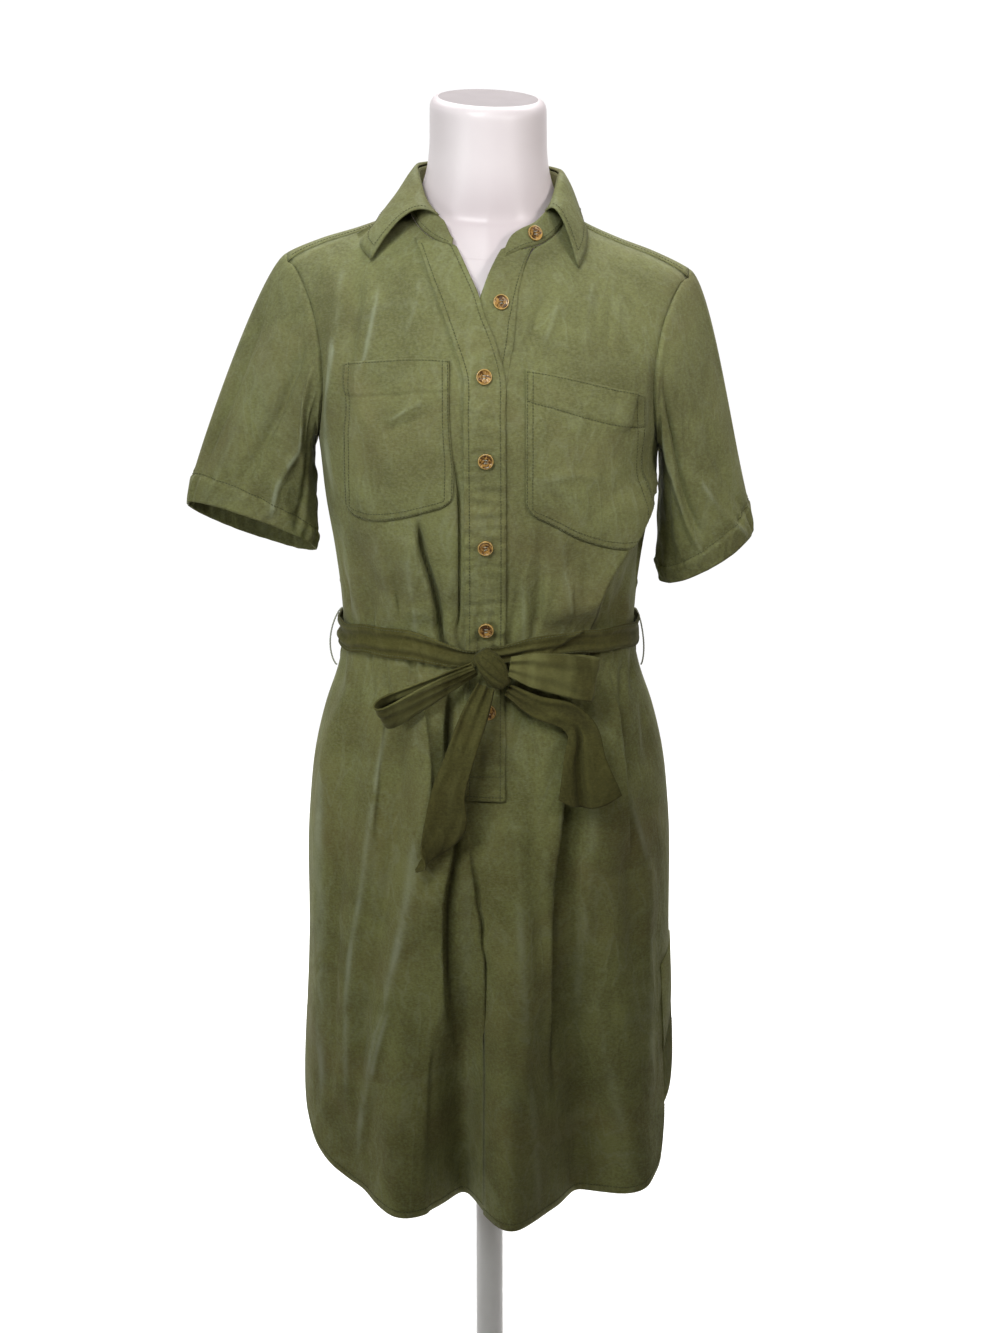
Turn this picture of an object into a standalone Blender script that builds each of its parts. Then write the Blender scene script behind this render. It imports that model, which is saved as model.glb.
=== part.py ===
"""Shirt dress on a limbless dress form.

Metres, +Z up, the front toward -Y, +X toward the wearer's left. The origin is the middle of the
stand's underside. The dress is cut as front, back, yoke, plackets, collar, sleeves, pockets and
belt. Each of them is one sheet of cloth with a wall, parted from its neighbours by a small gap.
"""

import bpy
import numpy as np

# ---------------------------------------------------------------- driving sizes

WALL = 0.0012           # thickness of the dress cloth
BELT_WALL = 0.0015      # two layers of the same cloth, pressed
SEAM_GAP = 0.0003       # what parts two sewn pieces
LAP = 0.0006            # what parts a piece from the one it lies on
POCKET_LAP = 0.0014     # the same for a pocket, which stands off a little

UNDERARM = 1.108        # height of the underarm point
YOKE_BACK = 1.240       # height of the yoke's seam across the back
YOKE_FRONT = 0.014      # how far the shoulder seam lies in front of the shoulder's ridge
WAIST = 0.912           # middle of the belt
VENT_TOP = 0.565        # where the side seams end and the hem's curve begins
LEVEL_ROW = 0.610       # lowest row of cloth that runs level
HEM_FRONT = 0.350
HEM_BACK = 0.315
PLACKET_END = 0.7880    # lower end of the placket
SHOULDER_DROP = 0.040   # fall of the shoulders toward +X, for each metre across
RISE_FRONT = 1.9        # how round the front is between underarm and ridge
RISE_BACK = 2.6         # how round the back is there

# The body's outline at each height: half its width, its depth in front of the middle and behind
# it, and the power of its superellipse.
# height, half width, front depth, back depth, power
OUTLINE = (
    (0.300, 0.1920, 0.136, 0.140, 2.2),
    (0.440, 0.1905, 0.135, 0.138, 2.2),
    (0.600, 0.1825, 0.131, 0.134, 2.2),
    (0.740, 0.1790, 0.128, 0.129, 2.2),
    (0.800, 0.1720, 0.122, 0.121, 2.2),
    (0.845, 0.1610, 0.115, 0.110, 2.2),
    (0.880, 0.1490, 0.108, 0.098, 2.2),
    (0.912, 0.1425, 0.105, 0.092, 2.3),
    (0.950, 0.1435, 0.109, 0.092, 2.3),
    (1.000, 0.1490, 0.118, 0.094, 2.4),
    (1.050, 0.1570, 0.126, 0.098, 2.5),
    (1.108, 0.1630, 0.130, 0.102, 2.6),
    (1.160, 0.1720, 0.130, 0.106, 2.7),
    (1.220, 0.1880, 0.127, 0.110, 2.6),
    (1.280, 0.2000, 0.125, 0.112, 2.6),
    (1.380, 0.2050, 0.125, 0.112, 2.6),
)

# The shoulder's ridge, and its run on into the neck.
# distance from the middle, height
RIDGE = (
    (0.000, 1.3650),
    (0.030, 1.3550),
    (0.060, 1.3350),
    (0.090, 1.3165),
    (0.120, 1.3040),
    (0.160, 1.2905),
    (0.190, 1.2770),
    (0.210, 1.2640),
)

# The armhole seam, from underarm to shoulder tip.
# height, distance from the middle
ARMHOLE = (
    (1.1080, 0.1630),
    (1.1250, 0.1590),
    (1.1500, 0.1552),
    (1.1800, 0.1545),
    (1.2100, 0.1580),
    (1.2400, 0.1665),
    (1.2620, 0.1780),
    (1.2770, 0.1900),
)

# The neckline in plan, from the middle of the back round to the front opening.
# share of its length, distance from the middle, place along Y
NECKLINE = (
    (0.00, 0.0000, 0.0630),
    (0.12, 0.0280, 0.0600),
    (0.24, 0.0520, 0.0510),
    (0.36, 0.0680, 0.0340),
    (0.48, 0.0745, 0.0120),
    (0.60, 0.0745, -0.0120),
    (0.71, 0.0700, -0.0340),
    (0.82, 0.0610, -0.0530),
    (0.91, 0.0480, -0.0670),
    (1.00, 0.0330, -0.0755),
)

# Half of the placket opening, below and in the V. Left is the wearer's right.
# height, slot's left edge, slot's right edge, upper placket's free edge, lower placket's free edge
OPENING = (
    (0.7880, -0.0197, 0.0152, 0.0160, -0.0172),
    (1.1500, -0.0197, 0.0152, 0.0160, -0.0172),
    (1.1860, -0.0202, 0.0170, 0.0155, -0.0168),
    (1.2185, -0.0310, 0.0230, 0.0060, -0.0135),
    (1.2385, -0.0385, 0.0250, -0.0025, -0.0105),
    (1.2565, -0.0455, 0.0265, -0.0085, -0.0065),
    (1.2745, -0.0540, 0.0305, -0.0180, 0.0010),
    (1.2900, -0.0610, 0.0370, -0.0270, 0.0100),
    (1.3030, -0.0680, 0.0450, -0.0345, 0.0200),
    (1.3200, -0.0760, 0.0550, -0.0440, 0.0330),
)

# Folds of the skirt, which grow from nothing at their top to their depth at the hem.
# place across at the top, at the hem, height of the top, depth outward, half width
SKIRT_FOLDS_FRONT = (
    (-0.120, -0.140, 0.800, -0.010, 0.026),
    (-0.062, -0.084, 0.860, 0.020, 0.028),
    (-0.022, -0.032, 0.820, -0.058, 0.020),
    (0.014, 0.022, 0.820, 0.032, 0.024),
    (0.066, 0.100, 0.870, -0.034, 0.028),
    (0.105, 0.150, 0.860, 0.012, 0.024),
)
SKIRT_FOLDS_BACK = (
    (-0.110, -0.130, 0.840, 0.014, 0.028),
    (-0.060, -0.080, 0.860, -0.022, 0.028),
    (-0.020, -0.028, 0.820, 0.022, 0.026),
    (0.026, 0.032, 0.840, -0.024, 0.026),
    (0.070, 0.088, 0.860, 0.020, 0.028),
    (0.116, 0.138, 0.820, -0.012, 0.026),
)

# Folds of the bodice and hips, which fade at both ends.
# place across at the top, at the bottom, height of the top, of the bottom, depth, half width
BODY_FOLDS_FRONT = (
    (0.142, 0.088, 1.050, 0.925, 0.007, 0.013),
    (0.164, 0.114, 1.060, 0.925, -0.006, 0.014),
    (-0.076, -0.044, 1.055, 0.925, -0.004, 0.010),
    (-0.100, -0.066, 1.060, 0.925, 0.005, 0.014),
    (-0.040, -0.042, 0.895, 0.740, -0.006, 0.010),
    (-0.066, -0.072, 0.895, 0.700, 0.006, 0.016),
    (0.084, 0.070, 0.895, 0.640, -0.007, 0.012),
    (0.112, 0.110, 0.895, 0.660, 0.006, 0.018),
)
BODY_FOLDS_BACK = (
    (-0.080, -0.060, 1.060, 0.925, 0.005, 0.016),
    (-0.040, -0.034, 1.040, 0.925, -0.004, 0.014),
    (0.050, 0.040, 1.060, 0.925, 0.005, 0.016),
    (0.094, 0.076, 1.040, 0.925, -0.004, 0.014),
    (-0.070, -0.076, 0.895, 0.700, 0.006, 0.018),
    (0.056, 0.062, 0.895, 0.700, 0.006, 0.018),
)

# Colours, as linear red, green and blue.
OLIVE = (0.115, 0.135, 0.055)
OLIVE_DARK = (0.075, 0.085, 0.030)
FORM_WHITE = (0.80, 0.76, 0.78)
TORTOISE = (0.16, 0.07, 0.02)
STAND_WHITE = (0.78, 0.77, 0.77)
THREAD = (0.30, 0.31, 0.24)


# ---------------------------------------------------------------- curves and tables

def along(table, at, column=1):
    """A smooth cubic through one column of a table, read at the places in its first column."""
    rows = np.array(table, float)
    place, value = rows[:, 0], rows[:, column]
    slope = np.gradient(value, place)
    at = np.clip(np.asarray(at, float), place[0], place[-1])
    i = np.clip(np.searchsorted(place, at, side="right") - 1, 0, len(place) - 2)
    step = place[i + 1] - place[i]
    t = (at - place[i]) / step
    start = (1 + 2 * t) * (1 - t) ** 2 * value[i] + t * (1 - t) ** 2 * step * slope[i]
    end = t * t * (3 - 2 * t) * value[i + 1] - t * t * (1 - t) * step * slope[i + 1]
    return start + end


def ease(t):
    """A smooth step from 0 to 1."""
    t = np.clip(t, 0, 1)
    return t * t * (3 - 2 * t)


def spaced(points, count):
    """Count points at even distances along a dense line of points."""
    points = np.asarray(points, float)
    gone = np.concatenate([[0], np.cumsum(np.linalg.norm(np.diff(points, axis=0), axis=1))])
    at = np.linspace(0, gone[-1], count)
    return np.stack([np.interp(at, gone, points[:, k]) for k in range(points.shape[1])], axis=1)


def curve_through(points, count):
    """A smooth line through a few points, as count points at even distances."""
    points = np.asarray(points, float)
    place = np.concatenate([[0], np.cumsum(np.linalg.norm(np.diff(points, axis=0), axis=1))])
    table = np.column_stack([place, points])
    at = np.linspace(0, place[-1], 12 * count)
    dense = np.stack([along(table, at, k + 1) for k in range(points.shape[1])], axis=1)
    return spaced(dense, count)


# ---------------------------------------------------------------- the dressed body's surface

def across_share(x, z):
    """What is left of the depth at x, on the superellipse of that height."""
    half, power = along(OUTLINE, z, 1), along(OUTLINE, z, 4)
    return np.clip(1 - np.clip(np.abs(x) / half, 0, 1) ** power, 0, 1) ** (1 / power)


def rise_share(x, z, power):
    """What is left of the depth between the underarm's height and the shoulder's ridge."""
    height = along(RIDGE, np.abs(x)) - UNDERARM
    up = np.clip((z - UNDERARM) / height, 0, 1)
    return (1 - up ** power) ** (1 / power)


def front_y(x, z):
    return -along(OUTLINE, z, 2) * across_share(x, z) * rise_share(x, z, RISE_FRONT)


def back_y(x, z):
    return along(OUTLINE, z, 3) * across_share(x, z) * rise_share(x, z, RISE_BACK)


def top_z(x, y):
    """The height of the shoulders over a place in plan: the two functions above, turned round."""
    x, y = np.broadcast_arrays(np.asarray(x, float), np.asarray(y, float))
    in_front = y < 0
    power = np.where(in_front, RISE_FRONT, RISE_BACK)
    height = along(RIDGE, np.abs(x)) - UNDERARM
    z = np.full(x.shape, 1.28)
    for _ in range(12):
        depth = np.where(in_front, along(OUTLINE, z, 2), along(OUTLINE, z, 3)) * across_share(x, z)
        out = np.clip(np.abs(y) / np.maximum(depth, 1e-4), 0, 1)
        z = UNDERARM + height * (1 - out ** power) ** (1 / power)
    return z


def plan_normal(x, z, front):
    """Outward direction in plan, from the superellipse's slope."""
    half, power = along(OUTLINE, z, 1), along(OUTLINE, z, 4)
    depth = along(OUTLINE, z, 2 if front else 3)
    side = np.sign(x) * np.clip(np.abs(x) / half, 0, 1) ** (power - 1) / half
    ahead = across_share(x, z) ** (power - 1) / depth * (-1 if front else 1)
    length = np.hypot(side, ahead)
    return side / length, ahead / length


def skirt_folds(x, z, table):
    """Sum of bells across the cloth, each deepening on its way down to the hem."""
    total = np.zeros(np.broadcast(x, z).shape)
    for top_x, hem_x, top, depth, width in table:
        down = np.clip((top - z) / (top - HEM_FRONT), 0, 1.1)
        middle = top_x + (hem_x - top_x) * down
        total += depth * down ** 1.3 * np.exp(-((x - middle) / width) ** 2)
    return total


def body_folds(x, z, table):
    """Sum of bells across the cloth, each fading at its top and its bottom."""
    total = np.zeros(np.broadcast(x, z).shape)
    for top_x, low_x, top, low, depth, width in table:
        down = (top - z) / (top - low)
        fade = ease(4 * down) * ease(4 * (1 - down))
        middle = top_x + (low_x - top_x) * down
        total += depth * fade * np.exp(-((x - middle) / width) ** 2)
    return total


def panel_point(x, z, front, lift=0.0):
    """A point on the front or back, with its folds, moved out by lift."""
    x, z = np.broadcast_arrays(np.asarray(x, float), np.asarray(z, float))
    y = front_y(x, z) if front else back_y(x, z)
    skirt = SKIRT_FOLDS_FRONT if front else SKIRT_FOLDS_BACK
    body = BODY_FOLDS_FRONT if front else BODY_FOLDS_BACK
    out = skirt_folds(x, z, skirt) + body_folds(x, z, body) + lift
    side, ahead = plan_normal(x, z, front)
    steep = np.clip((z - UNDERARM) / 0.2, 0, 1) * 0.7
    up = lift * steep / np.sqrt(1 + steep ** 2)
    return np.stack([x + side * out, y + ahead * out, z + up], axis=-1)


def round_the_side(z, start, count, reach):
    """Places across at even distances along a height's outline, from start to the side seam."""
    half, power = along(OUTLINE, z, 1), along(OUTLINE, z, 4)
    depth = along(OUTLINE, z, 2)
    turn = np.linspace(0, np.pi / 2, 160)
    x = half * np.sin(turn) ** (2 / power)
    y = depth * np.cos(turn) ** (2 / power)
    keep = x >= start
    x, y = np.append(start, x[keep]), np.append(np.interp(start, x, y), y[keep])
    gone = np.concatenate([[0], np.cumsum(np.hypot(np.diff(x), np.diff(y)))])
    return np.interp(np.linspace(0, reach * gone[-1], count), gone, x)


# ---------------------------------------------------------------- making solids

def drop_shoulders(points):
    """Everything above the waist falls a little toward +X, as the dress hangs on its form."""
    points = np.array(points, float)
    share = ease((points[..., 2] - WAIST) / (UNDERARM - WAIST))
    points[..., 2] -= SHOULDER_DROP * points[..., 0] * share
    return points


def finish(name, colour, metal, rough):
    made = bpy.data.materials.new(name)
    made.use_nodes = True
    shader = made.node_tree.nodes["Principled BSDF"]
    shader.inputs["Base Color"].default_value = (*colour, 1)
    shader.inputs["Metallic"].default_value = metal
    shader.inputs["Roughness"].default_value = rough
    return made


def add_object(name, points, faces, colour, metal=0.0, rough=0.85):
    mesh = bpy.data.meshes.new(name)
    mesh.from_pydata([tuple(p) for p in points], [], [tuple(f) for f in faces])
    mesh.validate()
    mesh.shade_smooth()
    mesh.materials.append(finish(name, colour, metal, rough))
    made = bpy.data.objects.new(name, mesh)
    bpy.context.scene.collection.objects.link(made)
    return made


def grid_faces(rows, columns, ring=False, keep=None):
    """Quads of a grid of points, left out where keep is False; a ring joins its last column to its first."""
    faces = []
    for j in range(rows - 1):
        for i in range(columns if ring else columns - 1):
            if keep is None or keep[j, i]:
                k = (i + 1) % columns
                low, high = j * columns, (j + 1) * columns
                faces.append((low + i, low + k, high + k, high + i))
    return faces


def cloth(name, points, colour, wall=WALL, ring=False, keep=None, outward=None):
    """A sheet of cloth from a grid of points on its outer face. Its wall goes inward from there."""
    points = drop_shoulders(points)
    rows, columns = points.shape[:2]
    faces = grid_faces(rows, columns, ring, keep)
    flat = points.reshape(-1, 3)
    corner = flat[np.array(faces)]
    normal = np.cross(corner[:, 2] - corner[:, 0], corner[:, 3] - corner[:, 1])
    away = corner.mean(axis=1) * (1, 1, 0) if outward is None else outward(corner.mean(axis=1))
    if (normal * away).sum() < 0:
        faces = [face[::-1] for face in faces]
    made = add_object(name, flat, faces, colour)
    wall_maker = made.modifiers.new("wall", "SOLIDIFY")
    wall_maker.thickness = wall
    wall_maker.offset = -1
    wall_maker.use_quality_normals = True
    return made


def closed_rings(name, rings, colour, metal=0.0, rough=0.4):
    """A solid skinned over rings of points, with a fan on the first and the last."""
    rings = np.asarray(rings, float)
    count, around = rings.shape[:2]
    points = np.concatenate([rings.reshape(-1, 3), rings[:1].mean(axis=1), rings[-1:].mean(axis=1)])
    faces = grid_faces(count, around, ring=True)
    low, high, last = count * around, count * around + 1, (count - 1) * around
    for i in range(around):
        k = (i + 1) % around
        faces.append((low, k, i))
        faces.append((high, last + i, last + k))
    corner = [np.array([points[v] for v in face[:3]]) for face in faces]
    volume = sum(np.linalg.det(c) * (len(f) - 2) for c, f in zip(corner, faces))
    if volume < 0:
        faces = [face[::-1] for face in faces]
    return add_object(name, points, faces, colour, metal, rough)


# ---------------------------------------------------------------- front and back

SIDE_COLUMNS = 13       # cells from the placket's slot to a side seam
BACK_COLUMNS = 11       # cells from the middle of the back to a side seam
SLOT_COLUMNS = 2        # cells across the placket's slot
BACK_TOP_ROWS = 7       # cells of the back above the underarm
HEM_ROWS = 5            # cells between the curved hem and the lowest level row
TOP_ROWS = 10           # cells between underarm and neckline

# Heights of the level rows, closer together at the waist.
LEVEL_ROWS = (LEVEL_ROW, 0.650, 0.690, 0.725, 0.758, PLACKET_END, 0.820, 0.850, 0.876, 0.897, 0.927,
              0.950, 0.980, 1.010, 1.042, 1.075, UNDERARM)
VENT_OPEN = 0.24        # share of the front that the right vent's edge has moved forward at the hem
HEM_CORNER = 2.7        # power of the hem's round corner, higher for a tighter one
HEM_CORNER_RIGHT = 7.0
HEM_RISE_RIGHT = 0.010  # how much higher the hem hangs at the right front's side


def hem_height(share, middle, corner):
    """The shirt-tail hem: level across the middle, then rounding up to the vent's top at the side."""
    return middle + (VENT_TOP - middle) * (1 - (1 - np.clip(share, 0, 1) ** corner) ** (1 / corner))


def panel_rows(share, middle, corner):
    """Heights of all rows from hem to underarm, at a share of the way to the side seam."""
    low = hem_height(share, middle, corner)
    curved = [low + (LEVEL_ROW - low) * j / HEM_ROWS for j in range(HEM_ROWS)]
    return curved + list(LEVEL_ROWS)


def lower_half(side, columns, front):
    """Points of half a panel below the underarm, from its middle edge to its side seam."""
    middle = HEM_FRONT if front else HEM_BACK
    corner = HEM_CORNER_RIGHT if front and side > 0 else HEM_CORNER
    edge = along(OPENING, UNDERARM, 2 if side > 0 else 1) if front else 0.0
    share = np.linspace(0, 1, columns + 1)
    rise = HEM_RISE_RIGHT if front and side > 0 else 0.0
    heights = np.array([panel_rows(s, middle + rise * s, corner) for s in share]).T
    grid = np.zeros(heights.shape + (3,))
    for j, row in enumerate(heights):
        opened = VENT_OPEN * ease((VENT_TOP - row.min()) / 0.12) if front and side > 0 else 0.0
        for i, z in enumerate(row):
            x = round_the_side(z, abs(edge), columns + 1, 1 - opened)[i]
            grid[j, i] = panel_point(side * x, z, front)
    grid[:, -1, 1] += -SEAM_GAP / 2 if front else SEAM_GAP / 2
    return grid


def armhole_x(z):
    return along(ARMHOLE, z)


def neck_point(share):
    """The neckline in plan at a share of the way from the middle of the back to the opening."""
    return along(NECKLINE, share, 1), along(NECKLINE, share, 2)


def upper_front_half(side, bottom):
    """Points from the underarm row up to the neckline and the shoulder seam.

    In the plane of x and z, the patch is blended between its four edges: the underarm row, the
    armhole, the slot's edge, and the neckline followed by the shoulder seam. Y follows from there.
    """
    columns = bottom.shape[0]
    slot = 2 if side > 0 else 1
    v = np.linspace(0, 1, TOP_ROWS + 1)
    t = np.linspace(0, 1, columns)

    # neckline from the opening to the shoulder seam, then the shoulder seam to its tip
    share = np.linspace(1.0, 0.61, 60)
    neck_x, neck_y = neck_point(share)
    neck_z = top_z(neck_x, neck_y)
    slot_x = np.abs(along(OPENING, neck_z, slot))
    first = np.argmax(neck_x >= slot_x)
    shoulder_x = np.linspace(neck_x[-1], 0.1888, 40)
    shoulder_z = top_z(shoulder_x, -YOKE_FRONT * np.ones(40))
    x_line = np.concatenate([neck_x[first:], shoulder_x[1:]])
    z_line = np.concatenate([neck_z[first:], shoulder_z[1:]]) - SEAM_GAP
    top = spaced(np.column_stack([x_line, z_line]), columns)

    arm_z = UNDERARM + (top[-1, 1] - UNDERARM) * v
    arm = np.column_stack([armhole_x(arm_z), arm_z])
    arm[-1] = top[-1]
    arm = spaced(arm, TOP_ROWS + 1)
    slot_z = UNDERARM + (top[0, 1] - UNDERARM) * v
    inner = np.column_stack([np.abs(along(OPENING, slot_z, slot)), slot_z])
    inner[-1] = top[0]
    base = np.column_stack([np.abs(bottom[:, 0]), np.full(columns, UNDERARM)])

    blend = np.zeros((len(v), columns, 2))
    for j in range(len(v)):
        for i in range(columns):
            sides = (1 - t[i]) * inner[j] + t[i] * arm[j]
            ends = (1 - v[j]) * base[i] + v[j] * top[i]
            corners = ((1 - t[i]) * (1 - v[j]) * base[0] + t[i] * (1 - v[j]) * base[-1]
                       + (1 - t[i]) * v[j] * top[0] + t[i] * v[j] * top[-1])
            blend[j, i] = sides + ends - corners
    return panel_point(side * blend[..., 0], blend[..., 1], True)[1:]


def front_grid():
    """One panel from side seam to side seam: its points, which cells to keep, and its slot's edges."""
    halves = []
    for side in (-1, 1):
        lower = lower_half(side, SIDE_COLUMNS, True)
        halves.append(np.concatenate([lower, upper_front_half(side, lower[-1])]))
    left, right = halves[0][:, ::-1], halves[1]
    mix = (np.arange(1, SLOT_COLUMNS) / SLOT_COLUMNS)[None, :, None]
    between = (1 - mix) * left[:, -1:] + mix * right[:, :1]
    strip = panel_point(between[..., 0], between[..., 2], True)
    grid = np.concatenate([left, strip, right], axis=1)
    keep = np.ones((grid.shape[0] - 1, grid.shape[1] - 1), bool)
    slot_row = HEM_ROWS + LEVEL_ROWS.index(PLACKET_END)
    keep[slot_row:, SIDE_COLUMNS:SIDE_COLUMNS + SLOT_COLUMNS] = False
    return grid, keep, left[slot_row:, -1], right[slot_row:, 0]


def back_grid():
    """One plain panel from the hem to the yoke's seam."""
    halves = []
    for side in (-1, 1):
        lower = lower_half(side, BACK_COLUMNS, False)
        share = np.abs(lower[-1, :, 0]) / np.abs(lower[-1, -1, 0])
        heights = np.linspace(UNDERARM, YOKE_BACK - SEAM_GAP, BACK_TOP_ROWS + 1)[1:, None]
        upper = panel_point(side * share * armhole_x(heights), heights + 0 * share, False)
        halves.append(np.concatenate([lower, upper]))
    left, right = halves[0][:, ::-1], halves[1]
    return np.concatenate([left[:, :-1], right], axis=1)


# ---------------------------------------------------------------- yoke

YOKE_SHOULDER_CELLS = 6
YOKE_NECK_CELLS = 8
YOKE_ROWS = 8


def yoke_grid():
    """Over both shoulders and across the back, between the shoulder seams and the back's top edge."""
    cells = 2 * YOKE_SHOULDER_CELLS + YOKE_NECK_CELLS
    tip, hps = 0.1888, neck_point(0.61)[0]
    edge_y = -YOKE_FRONT + SEAM_GAP
    shoulder = np.column_stack([np.linspace(-tip, -hps, YOKE_SHOULDER_CELLS + 1),
                                np.full(YOKE_SHOULDER_CELLS + 1, edge_y)])
    share = np.abs(np.linspace(-0.61, 0.61, YOKE_NECK_CELLS + 1))
    neck_x, neck_y = neck_point(share)
    sign = np.sign(np.linspace(-1, 1, YOKE_NECK_CELLS + 1))
    neck = np.column_stack([sign * neck_x, neck_y])
    inner = np.concatenate([shoulder[:-1], neck, shoulder[::-1][1:] * (-1, 1)])
    low_x = np.linspace(-1, 1, cells + 1) * armhole_x(YOKE_BACK)
    outer = np.column_stack([low_x, back_y(low_x, np.full(cells + 1, YOKE_BACK))])

    # the end at the armhole runs from the shoulder seam over the ridge and down behind
    rise = np.concatenate([np.linspace(1.2756, 1.2770, 10), np.linspace(1.2769, YOKE_BACK, 40)])
    arm_x = armhole_x(rise)
    arm_y = np.where(np.arange(50) < 10, front_y(arm_x, rise), back_y(arm_x, rise))
    arm_y[0], arm_x[0] = edge_y, tip
    end = spaced(np.column_stack([arm_x, arm_y]), YOKE_ROWS + 1)

    grid = np.zeros((YOKE_ROWS + 1, cells + 1, 3))
    for j in range(YOKE_ROWS + 1):
        v = j / YOKE_ROWS
        for i in range(cells + 1):
            u = i / cells
            sides = (1 - u) * end[j] * (-1, 1) + u * end[j]
            ends = (1 - v) * inner[i] + v * outer[i]
            corners = ((1 - u) * (1 - v) * inner[0] + u * (1 - v) * inner[-1]
                       + (1 - u) * v * outer[0] + u * v * outer[-1])
            x, y = sides + ends - corners
            grid[j, i] = (x, y, top_z(x, y))
    return grid


# ---------------------------------------------------------------- plackets

PLACKET_CELLS = 3       # cells across a placket


def neck_height(x):
    """Height of the front neckline at a distance from the middle."""
    share = np.linspace(1.0, 0.6, 80)
    neck_x, neck_y = neck_point(share)
    return np.interp(x, neck_x, top_z(neck_x, neck_y))


def make_placket(name, seam, lift, free_column, overlap, low):
    """A long band up the front opening, made from the slot's edge; its top follows the neckline."""
    grid = np.zeros((len(seam), PLACKET_CELLS + 1, 3))
    share = np.linspace(0, 1, PLACKET_CELLS + 1)
    top = seam[-1, 2]
    for j, (sewn_x, _, sewn_z) in enumerate(seam):
        z = max(sewn_z, low)
        near_top = ease((z - 1.255) / (top - 1.255))
        free_x = along(OPENING, z, free_column)
        x = sewn_x + overlap + (free_x - sewn_x - overlap) * share
        neckline = np.minimum(neck_height(np.abs(x)) - SEAM_GAP, z + 0.004)
        level = (1 - near_top) * z + near_top * neckline
        grid[j] = panel_point(x, level, True, lift)
    return cloth(name, grid, OLIVE, outward=lambda p: np.array([[0, -1.0, 0.3]]))


# ---------------------------------------------------------------- pockets

# The upper corner near the opening comes first in each row, the outer one last.
# share across, place across, top height, bottom height, puff at the top
POCKET_LEFT = (
    (0.00, -0.0350, 1.1985, 1.0660, 0.0000),
    (0.25, -0.0600, 1.1985, 1.0570, 0.0004),
    (0.50, -0.0850, 1.1960, 1.0490, 0.0008),
    (0.75, -0.1100, 1.1925, 1.0445, 0.0006),
    (1.00, -0.1330, 1.1880, 1.0480, 0.0000),
)
POCKET_RIGHT = (
    (0.00, 0.0345, 1.1930, 1.0610, 0.0000),
    (0.25, 0.0600, 1.1890, 1.0490, 0.0006),
    (0.50, 0.0870, 1.1835, 1.0330, 0.0015),
    (0.75, 0.1120, 1.1770, 1.0240, 0.0030),
    (1.00, 0.1370, 1.1710, 1.0260, 0.0030),
)


def make_pocket(name, table):
    """A patch pocket on the chest, with a soft point below and its top edge standing a little off."""
    cells = 8
    grid = np.zeros((cells + 1, cells + 1, 3))
    for i in range(cells + 1):
        a = i / cells
        x, top, low, puff = (along(table, a, k) for k in (1, 2, 3, 4))
        for j in range(cells + 1):
            b = j / cells
            z = top + (low - top) * b
            grid[j, i] = panel_point(x, z, True, POCKET_LAP + WALL + puff * (1 - b) ** 2)
    return cloth(name, grid, OLIVE, outward=lambda p: np.array([[0, -1.0, 0]]))


# ---------------------------------------------------------------- sleeves

SLEEVE_ROWS = 10
SLEEVE_GAP = 0.0016     # from the armhole's edge to the sleeve's

# Each cuff is an oval: its middle, the half axis toward its upper outer corner, and the one
# toward the front.
CUFFS = {
    "sleeve_left": ((-0.2310, 0.0020, 1.0150), (-0.0640, 0.0000, 0.0200), (0.0020, -0.0370, 0.0150)),
    "sleeve_right": ((0.2120, 0.0000, 0.9990), (0.0470, 0.0060, 0.0290), (0.0060, -0.0480, -0.0040)),
}


def armhole_loop(side, front, back, yoke):
    """The armhole's edge as a loop of the panels' own points: down the front, under the arm, up the back."""
    column = 0 if side < 0 else -1
    front_edge = front[-TOP_ROWS - 1:, column][::-1]
    back_edge = back[-BACK_TOP_ROWS - 1:, column][1:]
    over = yoke[:, column]
    front_edge[-1, 1] = 0.0
    ridge = int(np.argmax(over[:, 2]))
    return np.concatenate([over[:ridge + 1][::-1], front_edge[1:], back_edge, over[ridge + 1:-1][::-1]])


def make_sleeve(name, side, loop):
    """Leaves the armhole sideways and turns down to the cuff: a cubic for each line along it."""
    middle, outer, ahead = (np.array(v) for v in CUFFS[name])
    around = len(loop)
    start = loop + np.array([side * SLEEVE_GAP, 0, 0])
    under = int(np.argmin(loop[:, 2]))
    step = np.linalg.norm(np.roll(loop, -1, axis=0) - loop, axis=1)
    gone = np.concatenate([[0], np.cumsum(step)])
    before, after = gone[under], gone[-1] - gone[under]
    place = gone[:-1]
    turn = np.where(place <= before, np.pi * place / before, np.pi + np.pi * (place - before) / after)
    end = middle + np.cos(turn)[:, None] * outer + np.sin(turn)[:, None] * ahead
    top = (1 + np.cos(turn)) / 2
    leave = np.column_stack([side * (0.030 + 0.040 * top), 0 * top, -0.028 * top])
    arrive = np.column_stack([side * (0.010 + 0.050 * top), 0 * top, -0.13 - 0.06 * top])
    w = np.linspace(0, 1, SLEEVE_ROWS + 1)[:, None, None]
    grid = ((1 + 2 * w) * (1 - w) ** 2 * start + w * (1 - w) ** 2 * leave
            + w * w * (3 - 2 * w) * end - w * w * (1 - w) * arrive)
    middles = drop_shoulders(grid).mean(axis=1)
    middles = np.repeat((middles[1:] + middles[:-1]) / 2, around, axis=0)
    return cloth(name, grid, OLIVE, ring=True, outward=lambda faces: faces - middles)


# ---------------------------------------------------------------- collar

STAND_CELLS = 26
LEAF_CELLS = 24
LEAF_SHARE = 0.84       # how far along the neckline the collar leaf reaches
STAND_LIFT = 0.0006

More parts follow.
